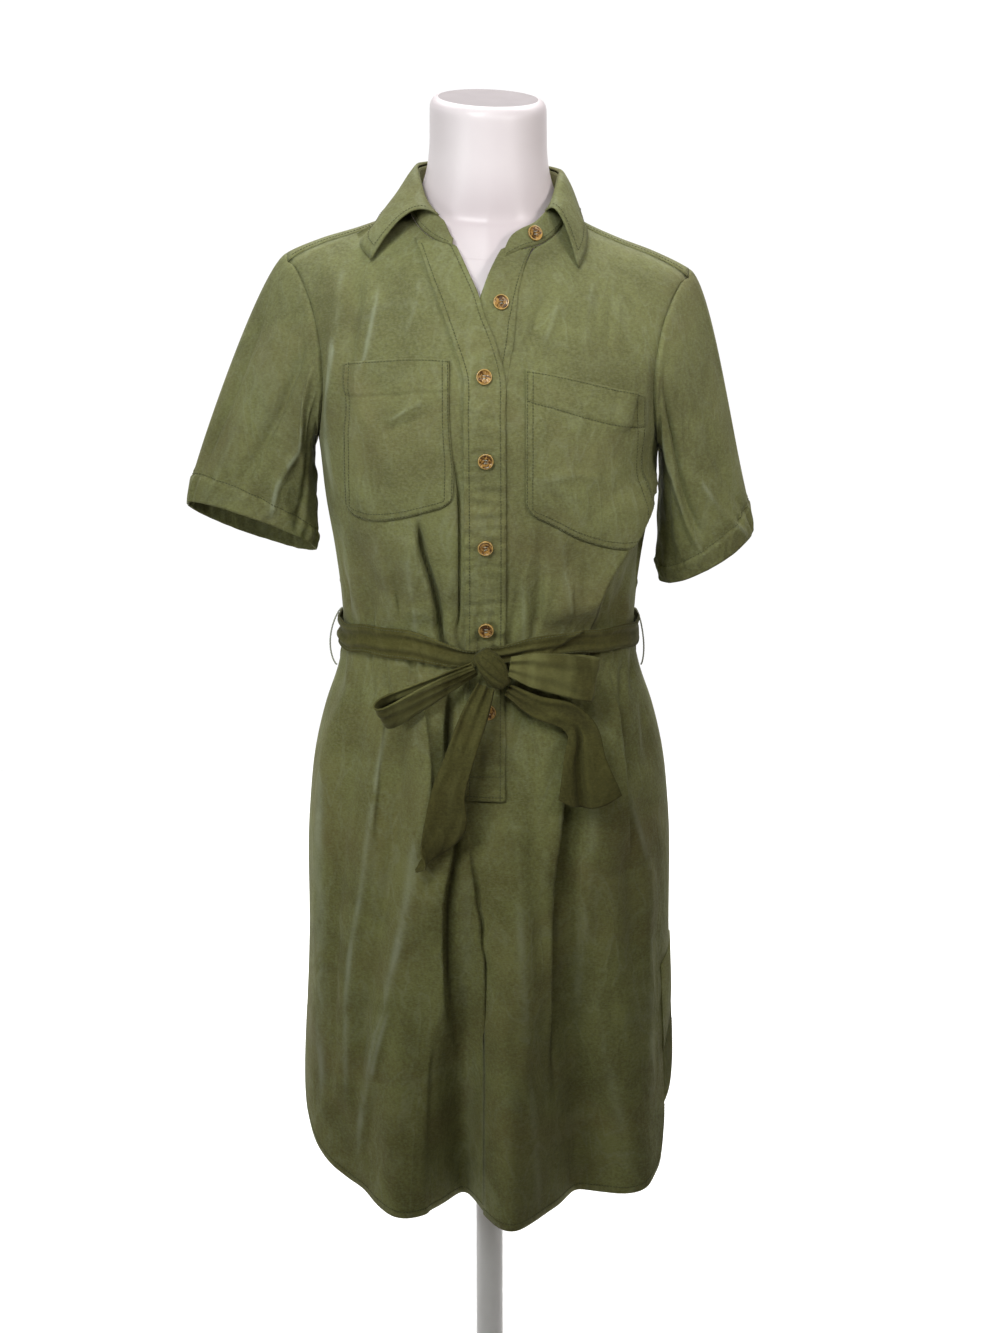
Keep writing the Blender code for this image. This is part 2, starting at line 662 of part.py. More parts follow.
# The stand at each share of the neckline: how far its top leans in toward the neck, how far it
# rises. The two front ends differ, since the one on the left lies back on the form's neck.
# share, lean in, rise
STAND = (
    (0.00, 0.004, 0.033),
    (0.36, 0.007, 0.034),
    (0.60, 0.010, 0.031),
    (0.82, 0.009, 0.022),
    (1.00, 0.007, 0.017),
)

# Free edge of the collar leaf in plan, how far it stands off the shoulders, and how high it
# rolls over the stand.
# share, distance from the middle, place along Y, stand-off, roll
LEAF_LEFT = (
    (0.00, 0.0000, 0.0900, 0.003, 0.007),
    (0.20, 0.0440, 0.0840, 0.003, 0.007),
    (0.40, 0.0740, 0.0600, 0.003, 0.007),
    (0.58, 0.0860, 0.0200, 0.003, 0.007),
    (0.76, 0.1090, -0.0240, 0.003, 0.006),
    (0.90, 0.1220, -0.0480, 0.004, 0.006),
    (1.00, 0.1070, -0.0600, 0.005, 0.006),
)
LEAF_RIGHT = (
    (0.00, 0.0000, 0.0900, 0.003, 0.007),
    (0.20, 0.0440, 0.0840, 0.003, 0.007),
    (0.40, 0.0740, 0.0600, 0.003, 0.007),
    (0.58, 0.0880, 0.0220, 0.003, 0.007),
    (0.76, 0.0960, -0.0200, 0.003, 0.006),
    (0.90, 0.0980, -0.0500, 0.004, 0.006),
    (1.00, 0.0880, -0.0690, 0.005, 0.006),
)


def stand_lines(share):
    """Lower and upper edge of the collar stand at signed shares of the neckline."""
    side = np.sign(share) + (share == 0)
    x, y = neck_point(np.abs(share))
    z = top_z(x, y)
    reach = np.hypot(x, y)
    lean, rise = along(STAND, np.abs(share), 1), along(STAND, np.abs(share), 2)
    foot = np.stack([side * x, y, z + STAND_LIFT + WALL], axis=-1)
    head = np.stack([side * x * (1 - lean / reach), y * (1 - lean / reach), z + STAND_LIFT + rise], axis=-1)
    return foot, head


def make_stand():
    share = np.linspace(-1, 1, STAND_CELLS + 1)
    foot, head = stand_lines(share)
    # the front ends are rounded off
    round_off = ease((1 - np.abs(share)) / 0.10)[:, None]
    head = foot + (head - foot) * (0.45 + 0.55 * round_off)
    grid = np.stack([foot, foot + 0.5 * (head - foot), head])
    return cloth("collar_stand", grid, OLIVE)


def make_leaf():
    share = np.linspace(-1, 1, LEAF_CELLS + 1)
    foot, head = stand_lines(share * LEAF_SHARE)
    edge = np.zeros_like(head)
    roll = np.zeros(len(share))
    for i, s in enumerate(share):
        table = LEAF_LEFT if s < 0 else LEAF_RIGHT
        x, y, off, roll[i] = (along(table, abs(s), k) for k in (1, 2, 3, 4))
        edge[i] = (np.sign(s) * x, y, top_z(x, y) + off + WALL)
    outward = edge - head
    outward[:, 2] = 0
    outward /= np.linalg.norm(outward, axis=1, keepdims=True)
    begin = head + (0, 0, WALL + 2 * SEAM_GAP)
    crown = head + outward * 0.007 + np.column_stack([0 * roll, 0 * roll, 2.0 * roll])
    rows = []
    for v in np.linspace(0, 1, 6):
        rows.append((1 - v) ** 2 * begin + 2 * v * (1 - v) * crown + v * v * edge)
    return cloth("collar_leaf", np.array(rows), OLIVE, outward=lambda p: p * (1, 1, 0) + (0, 0, 0.1))


# ---------------------------------------------------------------- belt, bow and tails

BELT_HEIGHT = 0.030
BELT_OFF = 0.0036       # the belt's inner face from the dress
BELT_FRONT_RISE = 0.009  # how much higher the belt lies at the middle of the front


def make_belt():
    """A band right round the waist, a few folds of cloth away from the dress."""
    around = 48
    turn = 2 * np.pi * np.arange(around) / around
    rows = []
    for z in (WAIST - BELT_HEIGHT / 2, WAIST, WAIST + BELT_HEIGHT / 2):
        half, power = along(OUTLINE, z, 1), along(OUTLINE, z, 4)
        front, behind = along(OUTLINE, z, 2), along(OUTLINE, z, 3)
        depth = np.where(np.cos(turn) > 0, front, behind)
        off = BELT_OFF + BELT_WALL
        x = (half + off) * np.sign(np.sin(turn)) * np.abs(np.sin(turn)) ** (2 / power)
        y = -(depth + off) * np.sign(np.cos(turn)) * np.abs(np.cos(turn)) ** (2 / power)
        rows.append(np.column_stack([x, y, z + BELT_FRONT_RISE * np.clip(np.cos(turn), 0, 1) ** 2]))
    return cloth("belt", np.array(rows), OLIVE_DARK, BELT_WALL, ring=True)


def bow_loop(name, root, ahead, forward, length, room):
    """A strip of the belt doubled back on itself: out along the front strand, back along the other.

    Along the loop, the distance out is the length times a low power of the sine of half a turn,
    and the distance from the middle is the cosine times a half gap that widens between the ends.
    """
    ahead = np.array(ahead) / np.linalg.norm(ahead)
    forward = np.array(forward) - np.dot(forward, ahead) * ahead
    forward /= np.linalg.norm(forward)
    up = np.cross(forward, ahead)
    up *= np.sign(up[2])
    turn = np.linspace(0, np.pi, 400)
    out = length * np.sin(turn) ** 0.32
    apart = np.cos(turn) * (LOOP_ROOT + room * np.sin(turn))
    line = spaced(np.array(root) + out[:, None] * ahead + apart[:, None] * forward, 23)
    width = np.interp(np.linspace(0, 1, 23), np.linspace(0, 1, len(LOOP_WIDTHS)), LOOP_WIDTHS)[:, None]
    grid = np.stack([line - up * width / 2, line, line + up * width / 2])
    middle = np.array(root) + ahead * length / 2
    return cloth(name, grid, OLIVE_DARK, BELT_WALL, outward=lambda p: p - middle)


def make_tail(name, table):
    """A flat strip carried along a smooth line, its width turned square to the line."""
    rows = np.array(table)
    line = curve_through(rows[:, :3], TAIL_ROWS)
    facing = curve_through(rows[:, 3:6], TAIL_ROWS)
    width = np.interp(np.linspace(0, 1, TAIL_ROWS), np.linspace(0, 1, len(rows)), rows[:, 6])
    ahead = np.gradient(line, axis=0)
    ahead /= np.linalg.norm(ahead, axis=1, keepdims=True)
    facing -= (facing * ahead).sum(axis=1, keepdims=True) * ahead
    facing /= np.linalg.norm(facing, axis=1, keepdims=True)
    half = width[:, None] / 2
    grid = np.stack([line - facing * half, line, line + facing * half])
    return cloth(name, grid, OLIVE_DARK, BELT_WALL, outward=lambda p: np.array([[0, -1.0, 0]]))


# Each loop of the bow: where it leaves the knot, the direction it runs in, the direction from its
# back strand to its front one, its length, and half the room inside it.
LOOPS = {
    "bow_loop_left": ((-0.0145, -0.1240, 0.9120), (-0.90, -0.12, -0.42), (0.10, -0.80, -0.58), 0.100, 0.0065),
    "bow_loop_right": ((0.0231, -0.1240, 0.9130), (0.98, 0.02, -0.14), (0.02, -1.00, 0.05), 0.090, 0.0060),
}
LOOP_ROOT = 0.0030      # half the distance between a loop's two strands at the knot
LOOP_WIDTHS = (0.014, 0.024, 0.031, 0.034, 0.034, 0.034, 0.031, 0.024, 0.014)

# Each tail's middle line from the knot to its end, the direction its width lies in, and its width.
# place along X, along Y, height, width's direction along X, along Y, up, width
TAIL_LEFT = (
    (-0.002, -0.1270, 0.8945, 0.90, 0.20, 0.00, 0.018),
    (-0.014, -0.1420, 0.866, 0.95, 0.10, 0.20, 0.026),
    (-0.027, -0.1460, 0.830, 1.00, -0.20, 0.20, 0.028),
    (-0.040, -0.1475, 0.795, 0.95, -0.40, 0.30, 0.028),
    (-0.050, -0.1500, 0.762, 0.80, -0.50, 0.50, 0.026),
    (-0.067, -0.1500, 0.733, 0.60, -0.40, 0.70, 0.014),
)
TAIL_RIGHT = (
    (0.0180, -0.1208, 0.8900, 0.00, 0.10, 1.00, 0.012),
    (0.046, -0.1260, 0.874, 0.10, 0.10, 1.00, 0.022),
    (0.074, -0.1280, 0.866, 0.35, 0.10, 0.90, 0.026),
    (0.090, -0.1300, 0.850, 0.85, 0.10, 0.50, 0.030),
    (0.094, -0.1340, 0.822, 1.00, 0.10, 0.10, 0.036),
    (0.098, -0.1370, 0.790, 1.00, 0.15, -0.10, 0.050),
)
TAIL_ROWS = 14
CARRIER_TOP, CARRIER_LOW, CARRIER_RADIUS = 0.938, 0.880, 0.0009
KNOT = (0.0040, -0.1215, 0.9100)
KNOT_HALF = (0.0155, 0.0105, 0.0215)
KNOT_TURN = 0.60        # how far the knot's band leans over, in radians


def make_knot():
    """The band wrapped once round the crossing: a short barrel, waisted where it is pulled tight."""
    around, rows = 14, 9
    rings = []
    for j in range(rows):
        t = -1 + 2 * j / (rows - 1)
        turn = 2 * np.pi * np.arange(around) / around
        size = (1 - 0.42 * t ** 4) * (0.90 + 0.10 * np.cos(np.pi * t))
        x = KNOT_HALF[0] * size * np.sign(np.cos(turn)) * np.abs(np.cos(turn)) ** 0.8
        y = KNOT_HALF[1] * size * np.sign(np.sin(turn)) * np.abs(np.sin(turn)) ** 0.8
        z = KNOT_HALF[2] * np.full(around, t)
        lean_x = x * np.cos(KNOT_TURN) - z * np.sin(KNOT_TURN)
        lean_z = x * np.sin(KNOT_TURN) + z * np.cos(KNOT_TURN)
        rings.append(np.column_stack([lean_x, y, lean_z]) + KNOT)
    return closed_rings("knot", rings, OLIVE_DARK, rough=0.85)


def make_carrier(name, side, stand_off):
    """A loop of thread at the side seam that the belt runs through."""
    heights = np.linspace(CARRIER_TOP, CARRIER_LOW, 11)
    bow = np.sin(np.pi * np.linspace(0, 1, 11)) ** 0.7
    seat = along(OUTLINE, heights, 1) + CARRIER_RADIUS + SEAM_GAP
    x = side * (seat + (stand_off - SEAM_GAP) * bow)
    middle = np.column_stack([x, np.full(11, 0.004), heights])
    ahead = np.gradient(middle, axis=0)
    ahead /= np.linalg.norm(ahead, axis=1, keepdims=True)
    turn = 2 * np.pi * np.arange(8) / 8
    square = np.cross(ahead, (0, 1.0, 0))
    square /= np.linalg.norm(square, axis=1, keepdims=True)
    rings = [m + CARRIER_RADIUS * (np.cos(turn)[:, None] * s + np.sin(turn)[:, None] * np.array([0, 1.0, 0]))
             for m, s in zip(middle, square)]
    return closed_rings(name, drop_shoulders(rings), THREAD, rough=0.8)


# ---------------------------------------------------------------- buttons

BUTTON_RADIUS = 0.0073
# number from the top, place across, height, distance of its underside from the body's surface
BUTTONS = (
    (2, 0.0120, 1.2510, SEAM_GAP),
    (3, -0.0035, 1.1850, LAP + WALL + SEAM_GAP),
    (4, -0.0020, 1.1095, LAP + WALL + SEAM_GAP),
    (5, -0.0025, 1.0270, LAP + WALL + SEAM_GAP),
    (6, -0.0020, 0.9450, LAP + WALL + SEAM_GAP),
    (7, 0.0000, 0.8650, LAP + WALL + SEAM_GAP),
)
BUTTON_1_OFF = SEAM_GAP   # from the collar stand's own surface to the underside of the top one
# radius and height of the button's profile, as shares of its radius and in metres
BUTTON_PROFILE = ((0.80, 0.0), (1.00, 0.0009), (1.00, 0.0019), (0.84, 0.0027), (0.66, 0.0021))


def make_button(name, seat, normal):
    """A round dished button, turned about the cloth's normal."""
    normal = np.array(normal) / np.linalg.norm(normal)
    side = np.cross(normal, (0, 0, 1.0))
    side /= np.linalg.norm(side)
    up = np.cross(side, normal)
    turn = 2 * np.pi * np.arange(14) / 14
    circle = BUTTON_RADIUS * (np.cos(turn)[:, None] * side + np.sin(turn)[:, None] * up)
    rings = [seat + height * normal + share * circle for share, height in BUTTON_PROFILE]
    return closed_rings(name, rings, TORTOISE, rough=0.2)


def make_buttons():
    """Six on the placket and the top one on the collar stand, each square to the cloth under it."""
    step = 0.004
    around = np.array(((0, 0), (0, step), (0, -step), (step, 0), (-step, 0)))
    for number, x, z, off in BUTTONS:
        points = drop_shoulders(panel_point(x + around[:, 0], z + around[:, 1], True, off))
        seat, above, below, right, left = points
        make_button(f"button_{number}", seat, np.cross(right - left, above - below))
    foot, head = stand_lines(np.array([0.93]))
    across = np.diff(stand_lines(np.array([0.96, 0.90]))[0], axis=0)[0]
    normal = np.cross(across, head[0] - foot[0])
    normal /= np.linalg.norm(normal)
    make_button("button_1", drop_shoulders((foot[0] + head[0]) / 2) + normal * BUTTON_1_OFF, normal)


# ---------------------------------------------------------------- dress form and stand

FORM_BOTTOM = 0.620
FORM_AROUND = 32
# The form's depth against the dress's.
# height, share
FORM_SHARE = (
    (0.620, 0.84),
    (0.912, 0.86),
    (1.108, 0.91),
    (1.250, 0.88),
    (1.345, 0.86),
)
TOP_TILT = 0.12         # the neck's cut falls forward by this for each metre

# height, half width
FORM_SIDES = (
    (0.6200, 0.1560),
    (0.6600, 0.1620),
    (0.7400, 0.1640),
    (0.8000, 0.1570),
    (0.8500, 0.1460),
    (0.9120, 0.1320),
    (0.9700, 0.1350),
    (1.0500, 0.1450),
    (1.1080, 0.1500),
    (1.1600, 0.1560),
    (1.2200, 0.1660),
    (1.2600, 0.1730),
)
FORM_SHOULDER_X = (0.172, 0.160, 0.145, 0.130, 0.115, 0.100, 0.087, 0.074)
SHOULDER_SEAT = WALL + 0.0024   # the form's ridge below the dress's outer face
# height, half width, depth in front, depth behind
FORM_NECK = (
    (1.3420, 0.0615, 0.0555, 0.0590),
    (1.3560, 0.0580, 0.0560, 0.0560),
    (1.3800, 0.0552, 0.0560, 0.0550),
    (1.4160, 0.0545, 0.0560, 0.0550),
    (1.4240, 0.0530, 0.0545, 0.0535),
    (1.4280, 0.0480, 0.0495, 0.0485),
)


def form_ring(z, half, front_depth=None, back_depth=None):
    """One level of the form, inside the dress by a fixed share of its depth."""
    turn = 2 * np.pi * np.arange(FORM_AROUND) / FORM_AROUND
    x = half * np.sin(turn)
    ahead = np.cos(turn) > 0
    round_end = np.clip(1 - np.abs(x / half) ** 4, 0, 1) ** 0.25
    if front_depth is None:
        depth = np.where(ahead, -front_y(x, np.full(FORM_AROUND, z)), back_y(x, np.full(FORM_AROUND, z)))
        y = depth * along(FORM_SHARE, z) * round_end
    else:
        y = np.where(ahead, front_depth, back_depth) * np.abs(np.cos(turn))
    return np.column_stack([x, np.where(ahead, -y, y), np.full(FORM_AROUND, z)])


def make_form():
    """Hips, waist, bust, shoulders and neck, with rounded ends where arms would be."""
    rings = [form_ring(z, along(FORM_SIDES, z)) for z in
             (0.620, 0.628, 0.660, 0.700, 0.750, 0.800, 0.850, 0.885, 0.912, 0.950, 1.000, 1.050, 1.108,
              1.160, 1.210, 1.250)]
    rings[0] = rings[0] * (0.96, 0.96, 1)
    for x in FORM_SHOULDER_X:
        rings.append(form_ring(along(RIDGE, x) - SHOULDER_SEAT, x))
    for z, half, front_depth, back_depth in FORM_NECK:
        ring = form_ring(z, half, front_depth, back_depth)
        ring[:, 2] += TOP_TILT * ring[:, 1] * ease((z - 1.37) / 0.04)
        rings.append(ring)
    return closed_rings("dress_form", drop_shoulders(rings), FORM_WHITE, rough=0.25)


def make_turned(name, profile, colour, metal, rough, around=32):
    """A turned piece from a profile of radius and height."""
    turn = 2 * np.pi * np.arange(around) / around
    rings = [np.column_stack([r * np.cos(turn), r * np.sin(turn), np.full(around, z)]) for r, z in profile]
    return closed_rings(name, rings, colour, metal, rough)


BASE_RADIUS = 0.170
BASE_HEIGHT = 0.006
POLE_RADIUS = 0.014
FLANGE_RADIUS = 0.045


def make_stand_parts():
    """A round plate on the floor, and the pole with a flange under the form."""
    make_turned("stand_base", ((BASE_RADIUS, 0.0), (BASE_RADIUS, 0.004),
                               (BASE_RADIUS - 0.003, BASE_HEIGHT), (0.022, BASE_HEIGHT)),
                STAND_WHITE, 0.0, 0.35, around=48)
    top = FORM_BOTTOM - SEAM_GAP
    make_turned("stand_pole", ((0.021, BASE_HEIGHT + SEAM_GAP), (0.021, 0.030), (POLE_RADIUS, 0.034),
                               (POLE_RADIUS, top - 0.012), (FLANGE_RADIUS, top - 0.008), (FLANGE_RADIUS, top)),
                STAND_WHITE, 0.0, 0.35, around=20)


# ---------------------------------------------------------------- the whole

for old in list(bpy.data.objects):
    bpy.data.objects.remove(old)

front, front_keep, slot_left, slot_right = front_grid()
back = back_grid()
yoke = yoke_grid()
cloth("front", front, OLIVE, keep=front_keep)
cloth("back", back, OLIVE)
cloth("yoke", yoke, OLIVE, outward=lambda p: np.array([[0, 0, 1.0]]))
make_placket("placket_over", slot_left, LAP + WALL, 3, -0.0030, PLACKET_END - 0.004)
make_placket("placket_under", slot_right, 0.0, 4, -SEAM_GAP, PLACKET_END + 0.003)
make_pocket("pocket_left", POCKET_LEFT)
make_pocket("pocket_right", POCKET_RIGHT)
make_sleeve("sleeve_left", -1, armhole_loop(-1, front, back, yoke))
make_sleeve("sleeve_right", 1, armhole_loop(1, front, back, yoke))
make_stand()
make_leaf()
make_belt()
make_knot()
for loop_name, loop in LOOPS.items():
    bow_loop(loop_name, *loop)
make_tail("tail_left", TAIL_LEFT)
make_tail("tail_right", TAIL_RIGHT)
make_carrier("carrier_left", -1, 0.0125)
make_carrier("carrier_right", 1, 0.0085)
make_buttons()
make_form()
make_stand_parts()
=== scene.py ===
"""A shirt dress tied with a belt, on a limbless dress form: its cloth, stitching, buttons and finishes.

Metres, +Z up, the front toward -Y, +X toward the wearer's left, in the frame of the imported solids.
"""

import bpy
import numpy as np
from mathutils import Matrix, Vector


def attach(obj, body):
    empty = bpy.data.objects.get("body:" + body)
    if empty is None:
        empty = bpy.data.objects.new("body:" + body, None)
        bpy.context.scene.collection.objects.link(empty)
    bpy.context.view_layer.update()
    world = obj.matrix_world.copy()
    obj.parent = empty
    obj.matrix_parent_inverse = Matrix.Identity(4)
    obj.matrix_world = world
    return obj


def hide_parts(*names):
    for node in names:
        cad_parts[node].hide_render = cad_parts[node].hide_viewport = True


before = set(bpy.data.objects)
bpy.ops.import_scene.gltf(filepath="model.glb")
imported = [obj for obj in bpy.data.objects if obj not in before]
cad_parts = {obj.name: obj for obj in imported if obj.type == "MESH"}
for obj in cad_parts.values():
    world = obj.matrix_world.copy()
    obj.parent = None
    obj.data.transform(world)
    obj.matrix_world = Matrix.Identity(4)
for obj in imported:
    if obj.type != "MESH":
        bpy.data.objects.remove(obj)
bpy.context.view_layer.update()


# ---------------------------------------------------------------- the stand
# A round steel plate on the floor and a steel tube that screws into it, with a flange under the
# form. Both are turned or cut, and sprayed with white powder paint that is baked on.

BASE_RADIUS, BASE_HEIGHT = 0.170, 0.006
POLE_RADIUS, POLE_TOP, FLANGE_RADIUS = 0.014, 0.6197, 0.045


def linear(colour):
    """An sRGB hex colour as linear red, green, blue and alpha."""
    share = np.array([int(colour[i:i + 2], 16) for i in (1, 3, 5)]) / 255
    bright = ((share + 0.055) / 1.055) ** 2.4
    return (*np.where(share <= 0.04045, share / 12.92, bright), 1.0)


def plug(tree, node, inputs):
    """Sets sockets of a node to values, or links them to sockets or to other nodes' main outputs."""
    for name, value in inputs.items():
        if isinstance(value, bpy.types.Node):
            value = value.outputs[2 if value.bl_idname == "ShaderNodeMix" else 0]
        if isinstance(value, bpy.types.NodeSocket):
            tree.links.new(value, node.inputs[name])
        else:
            node.inputs[name].default_value = value


def put(tree, kind, inputs=None, **settings):
    """Adds a shader node, with its properties from settings and its sockets from inputs."""
    made = tree.nodes.new("ShaderNode" + kind)
    for name, value in settings.items():
        setattr(made, name, value)
    plug(tree, made, inputs or {})
    return made


def new_material(name):
    """An empty material, as its tree, with the shader that shows."""
    made = bpy.data.materials.new(name)
    made.use_nodes = True
    tree = made.node_tree
    return made, tree, tree.nodes["Principled BSDF"]


def add_mesh(name, points, faces, material):
    """A smooth mesh from points and faces, as an object at the origin."""
    mesh = bpy.data.meshes.new(name)
    mesh.from_pydata(np.asarray(points, float).reshape(-1, 3).tolist(), [], faces)
    mesh.shade_smooth()
    mesh.materials.append(material)
    made = bpy.data.objects.new(name, mesh)
    bpy.context.scene.collection.objects.link(made)
    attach(made, "root")
    return made


def grid_faces(rows, columns, ring=False, keep=None):
    """Four corners of each cell of a grid of points, and of the cell that closes a ring."""
    low = np.arange((rows - 1) * columns).reshape(rows - 1, columns)
    beside = np.roll(low, -1, axis=1)
    faces = np.stack([low, beside, beside + columns, low + columns], axis=-1)
    if not ring:
        faces = faces[:, :-1]
    return faces[keep] if keep is not None else faces.reshape(-1, 4)


def add_tube(name, rings, material):
    """Skins rings of points and closes both ends with a fan, facing outwards by the sign of its volume."""
    rings = np.asarray(rings, float)
    count, around = rings.shape[:2]
    points = np.concatenate([rings.reshape(-1, 3), rings[:1].mean(axis=1), rings[-1:].mean(axis=1)])
    side = grid_faces(count, around, ring=True)
    i = np.arange(around)
    k, low, last = np.roll(i, -1), np.full(around, count * around), (count - 1) * around
    fans = np.concatenate([np.stack([low, k, i], axis=1), np.stack([low + 1, last + i, last + k], axis=1)])
    triangles = np.concatenate([side[:, [0, 1, 2]], side[:, [0, 2, 3]], fans])
    a, b, c = (points[triangles[:, n]] for n in range(3))
    faces = side.tolist() + fans.tolist()
    if (a * np.cross(b, c)).sum() < 0:
        faces = [face[::-1] for face in faces]
    return add_mesh(name, points, faces, material)


def once_round(count):
    """Even angles once round, in radians."""
    return 2 * np.pi * np.arange(count) / count


def turned(name, profile, around, material):
    """A piece turned about Z from a profile of radius and height."""
    turn = once_round(around)
    radius, height = (np.array(profile)[:, n, None] for n in (0, 1))
    rings = np.stack([radius * np.cos(turn), radius * np.sin(turn), height + 0 * turn], axis=-1)
    return add_tube(name, rings, material)


# Powder paint on steel: satin, and its orange-peel ripple is about 1 mm across.
powder_paint, tree, shader = new_material("white_powder_paint")
place = put(tree, "TexCoord").outputs["Object"]
ripple = put(tree, "TexNoise", {"Vector": place, "Scale": 900.0, "Detail": 1.0})
wear = put(tree, "TexNoise", {"Vector": place, "Scale": 30.0, "Detail": 4.0})
paint = put(tree, "Mix", {0: wear, 6: linear("#e4e2e2"), 7: linear("#efeded")}, data_type="RGBA")
peel = put(tree, "Bump", {"Height": ripple, "Strength": 0.08, "Distance": 0.0003})
plug(tree, shader, {"Base Color": paint, "Normal": peel, "Roughness": 0.38})

plate = turned("stand_plate", ((BASE_RADIUS - 0.0008, 0.0), (BASE_RADIUS, 0.0008), (BASE_RADIUS, 0.0040),
                               (BASE_RADIUS - 0.0008, 0.0052), (BASE_RADIUS - 0.0030, BASE_HEIGHT),
                               (0.022, BASE_HEIGHT)), 96, powder_paint)
tube = turned("stand_tube", ((0.0205, BASE_HEIGHT + 0.0003), (0.021, 0.008), (0.021, 0.028), (0.020, 0.030),
                             (0.0150, 0.0325), (POLE_RADIUS, 0.035), (POLE_RADIUS, 0.300),
                             (POLE_RADIUS, 0.606), (0.016, 0.6095), (0.040, 0.6105),
                             (FLANGE_RADIUS, 0.6125), (FLANGE_RADIUS, POLE_TOP)), 48, powder_paint)
for piece, node in ((plate, "stand_base"), (tube, "stand_pole")):
    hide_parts(node)


# ---------------------------------------------------------------- the dress form
# A hollow body moulded in white plastic, with rounded ends in place of arms and a neck cut off
# level. Its skin is smooth and glossy, and it carries the dress on its shoulders.

UNDERARM = 1.108        # height of the underarm point
WAIST = 0.912           # middle of the belt
SHOULDER_DROP = 0.040   # fall of the shoulders toward +X, for each metre across
RISE_FRONT, RISE_BACK = 1.9, 2.6    # how round front and back are between underarm and ridge

# height, half width, front depth, back depth, power of the dressed body's superellipse
OUTLINE = np.array((
    (0.300, 0.1920, 0.136, 0.140, 2.2), (0.440, 0.1905, 0.135, 0.138, 2.2),
    (0.600, 0.1825, 0.131, 0.134, 2.2), (0.740, 0.1790, 0.128, 0.129, 2.2),
    (0.800, 0.1720, 0.122, 0.121, 2.2), (0.845, 0.1610, 0.115, 0.110, 2.2),
    (0.880, 0.1490, 0.108, 0.098, 2.2), (0.912, 0.1425, 0.105, 0.092, 2.3),
    (0.950, 0.1435, 0.109, 0.092, 2.3), (1.000, 0.1490, 0.118, 0.094, 2.4),
    (1.050, 0.1570, 0.126, 0.098, 2.5), (1.108, 0.1630, 0.130, 0.102, 2.6),
    (1.160, 0.1720, 0.130, 0.106, 2.7), (1.220, 0.1880, 0.127, 0.110, 2.6),
    (1.280, 0.2000, 0.125, 0.112, 2.6), (1.380, 0.2050, 0.125, 0.112, 2.6)))
# distance from the middle, height of the shoulder's ridge
RIDGE = np.array(((0.000, 1.3650), (0.030, 1.3550), (0.060, 1.3350), (0.090, 1.3165), (0.120, 1.3040),
                  (0.160, 1.2905), (0.190, 1.2770), (0.210, 1.2640)))


def cubic(t, start, leave, end, arrive):
    """A smooth cubic from start to end, which leaves and arrives at the two slopes."""
    return ((1 + 2 * t) * (1 - t) ** 2 * start + t * (1 - t) ** 2 * leave
            + t * t * (3 - 2 * t) * end - t * t * (1 - t) * arrive)


def along(table, at, column=1):
    """A smooth cubic through one column of a table, read at the places in its first column."""
    table = np.asarray(table, float)
    place, value = table[:, 0], table[:, column]
    slope = np.gradient(value, place)
    at = np.clip(np.asarray(at, float), place[0], place[-1])
    i = np.clip(np.searchsorted(place, at, side="right") - 1, 0, len(place) - 2)
    step = place[i + 1] - place[i]
    return cubic((at - place[i]) / step, value[i], step * slope[i], value[i + 1], step * slope[i + 1])


def ease(t):
    """A smooth step from 0 to 1: 3t² - 2t³."""
    t = np.clip(t, 0, 1)
    return t * t * (3 - 2 * t)


def across_share(x, z):
    """What is left of the depth at x, on the superellipse of that height."""
    half, power = along(OUTLINE, z, 1), along(OUTLINE, z, 4)
    return np.clip(1 - np.clip(np.abs(x) / half, 0, 1) ** power, 0, 1) ** (1 / power)


def rise_share(x, z, power):
    """What is left of the depth between the underarm's height and the shoulder's ridge."""
    up = np.clip((z - UNDERARM) / (along(RIDGE, np.abs(x)) - UNDERARM), 0, 1)
    return (1 - up ** power) ** (1 / power)


def front_y(x, z):
    """The dressed body's front: its depth at that height, times what is left of it across and up."""
    return -along(OUTLINE, z, 2) * across_share(x, z) * rise_share(x, z, RISE_FRONT)


def back_y(x, z):
    """The dressed body's back, in the same way."""
    return along(OUTLINE, z, 3) * across_share(x, z) * rise_share(x, z, RISE_BACK)


def drop_shoulders(points):
    """Lowers points above the waist by a share of their x, as the shoulders fall toward +X."""
    points = np.array(points, float)
    share = ease((points[..., 2] - WAIST) / (UNDERARM - WAIST))
    points[..., 2] -= SHOULDER_DROP * points[..., 0] * share
    return points


def finer(rows, count):
    """More rows of points along the smooth cubic through each column of a few rows."""
    rows = np.asarray(rows, float)
    at = np.linspace(0, len(rows) - 1, count)
    i = np.clip(at.astype(int), 0, len(rows) - 2)
    t = (at - i).reshape(-1, *[1] * (rows.ndim - 1))
    slope = np.gradient(rows, axis=0)
    return cubic(t, rows[i], slope[i], rows[i + 1], slope[i + 1])


# share of the lowest ring's size, height, at the rounded edge below it
FORM_FOOT = ((0.90, 0.6203), (0.96, 0.6210))
# height, share of the dress's depth
FORM_SHARE = ((0.620, 0.84), (0.912, 0.86), (1.108, 0.91), (1.250, 0.88), (1.345, 0.86))
# height, half width
FORM_SIDES = ((0.6200, 0.1560), (0.6600, 0.1620), (0.7400, 0.1640), (0.8000, 0.1570), (0.8500, 0.1460),
              (0.9120, 0.1320), (0.9700, 0.1350), (1.0500, 0.1450), (1.1080, 0.1500), (1.1600, 0.1560),
              (1.2200, 0.1660), (1.2600, 0.1730))
FORM_LEVELS = (0.628, 0.660, 0.700, 0.750, 0.800, 0.850, 0.885, 0.912, 0.950, 1.000, 1.050, 1.108,
               1.160, 1.210, 1.250)
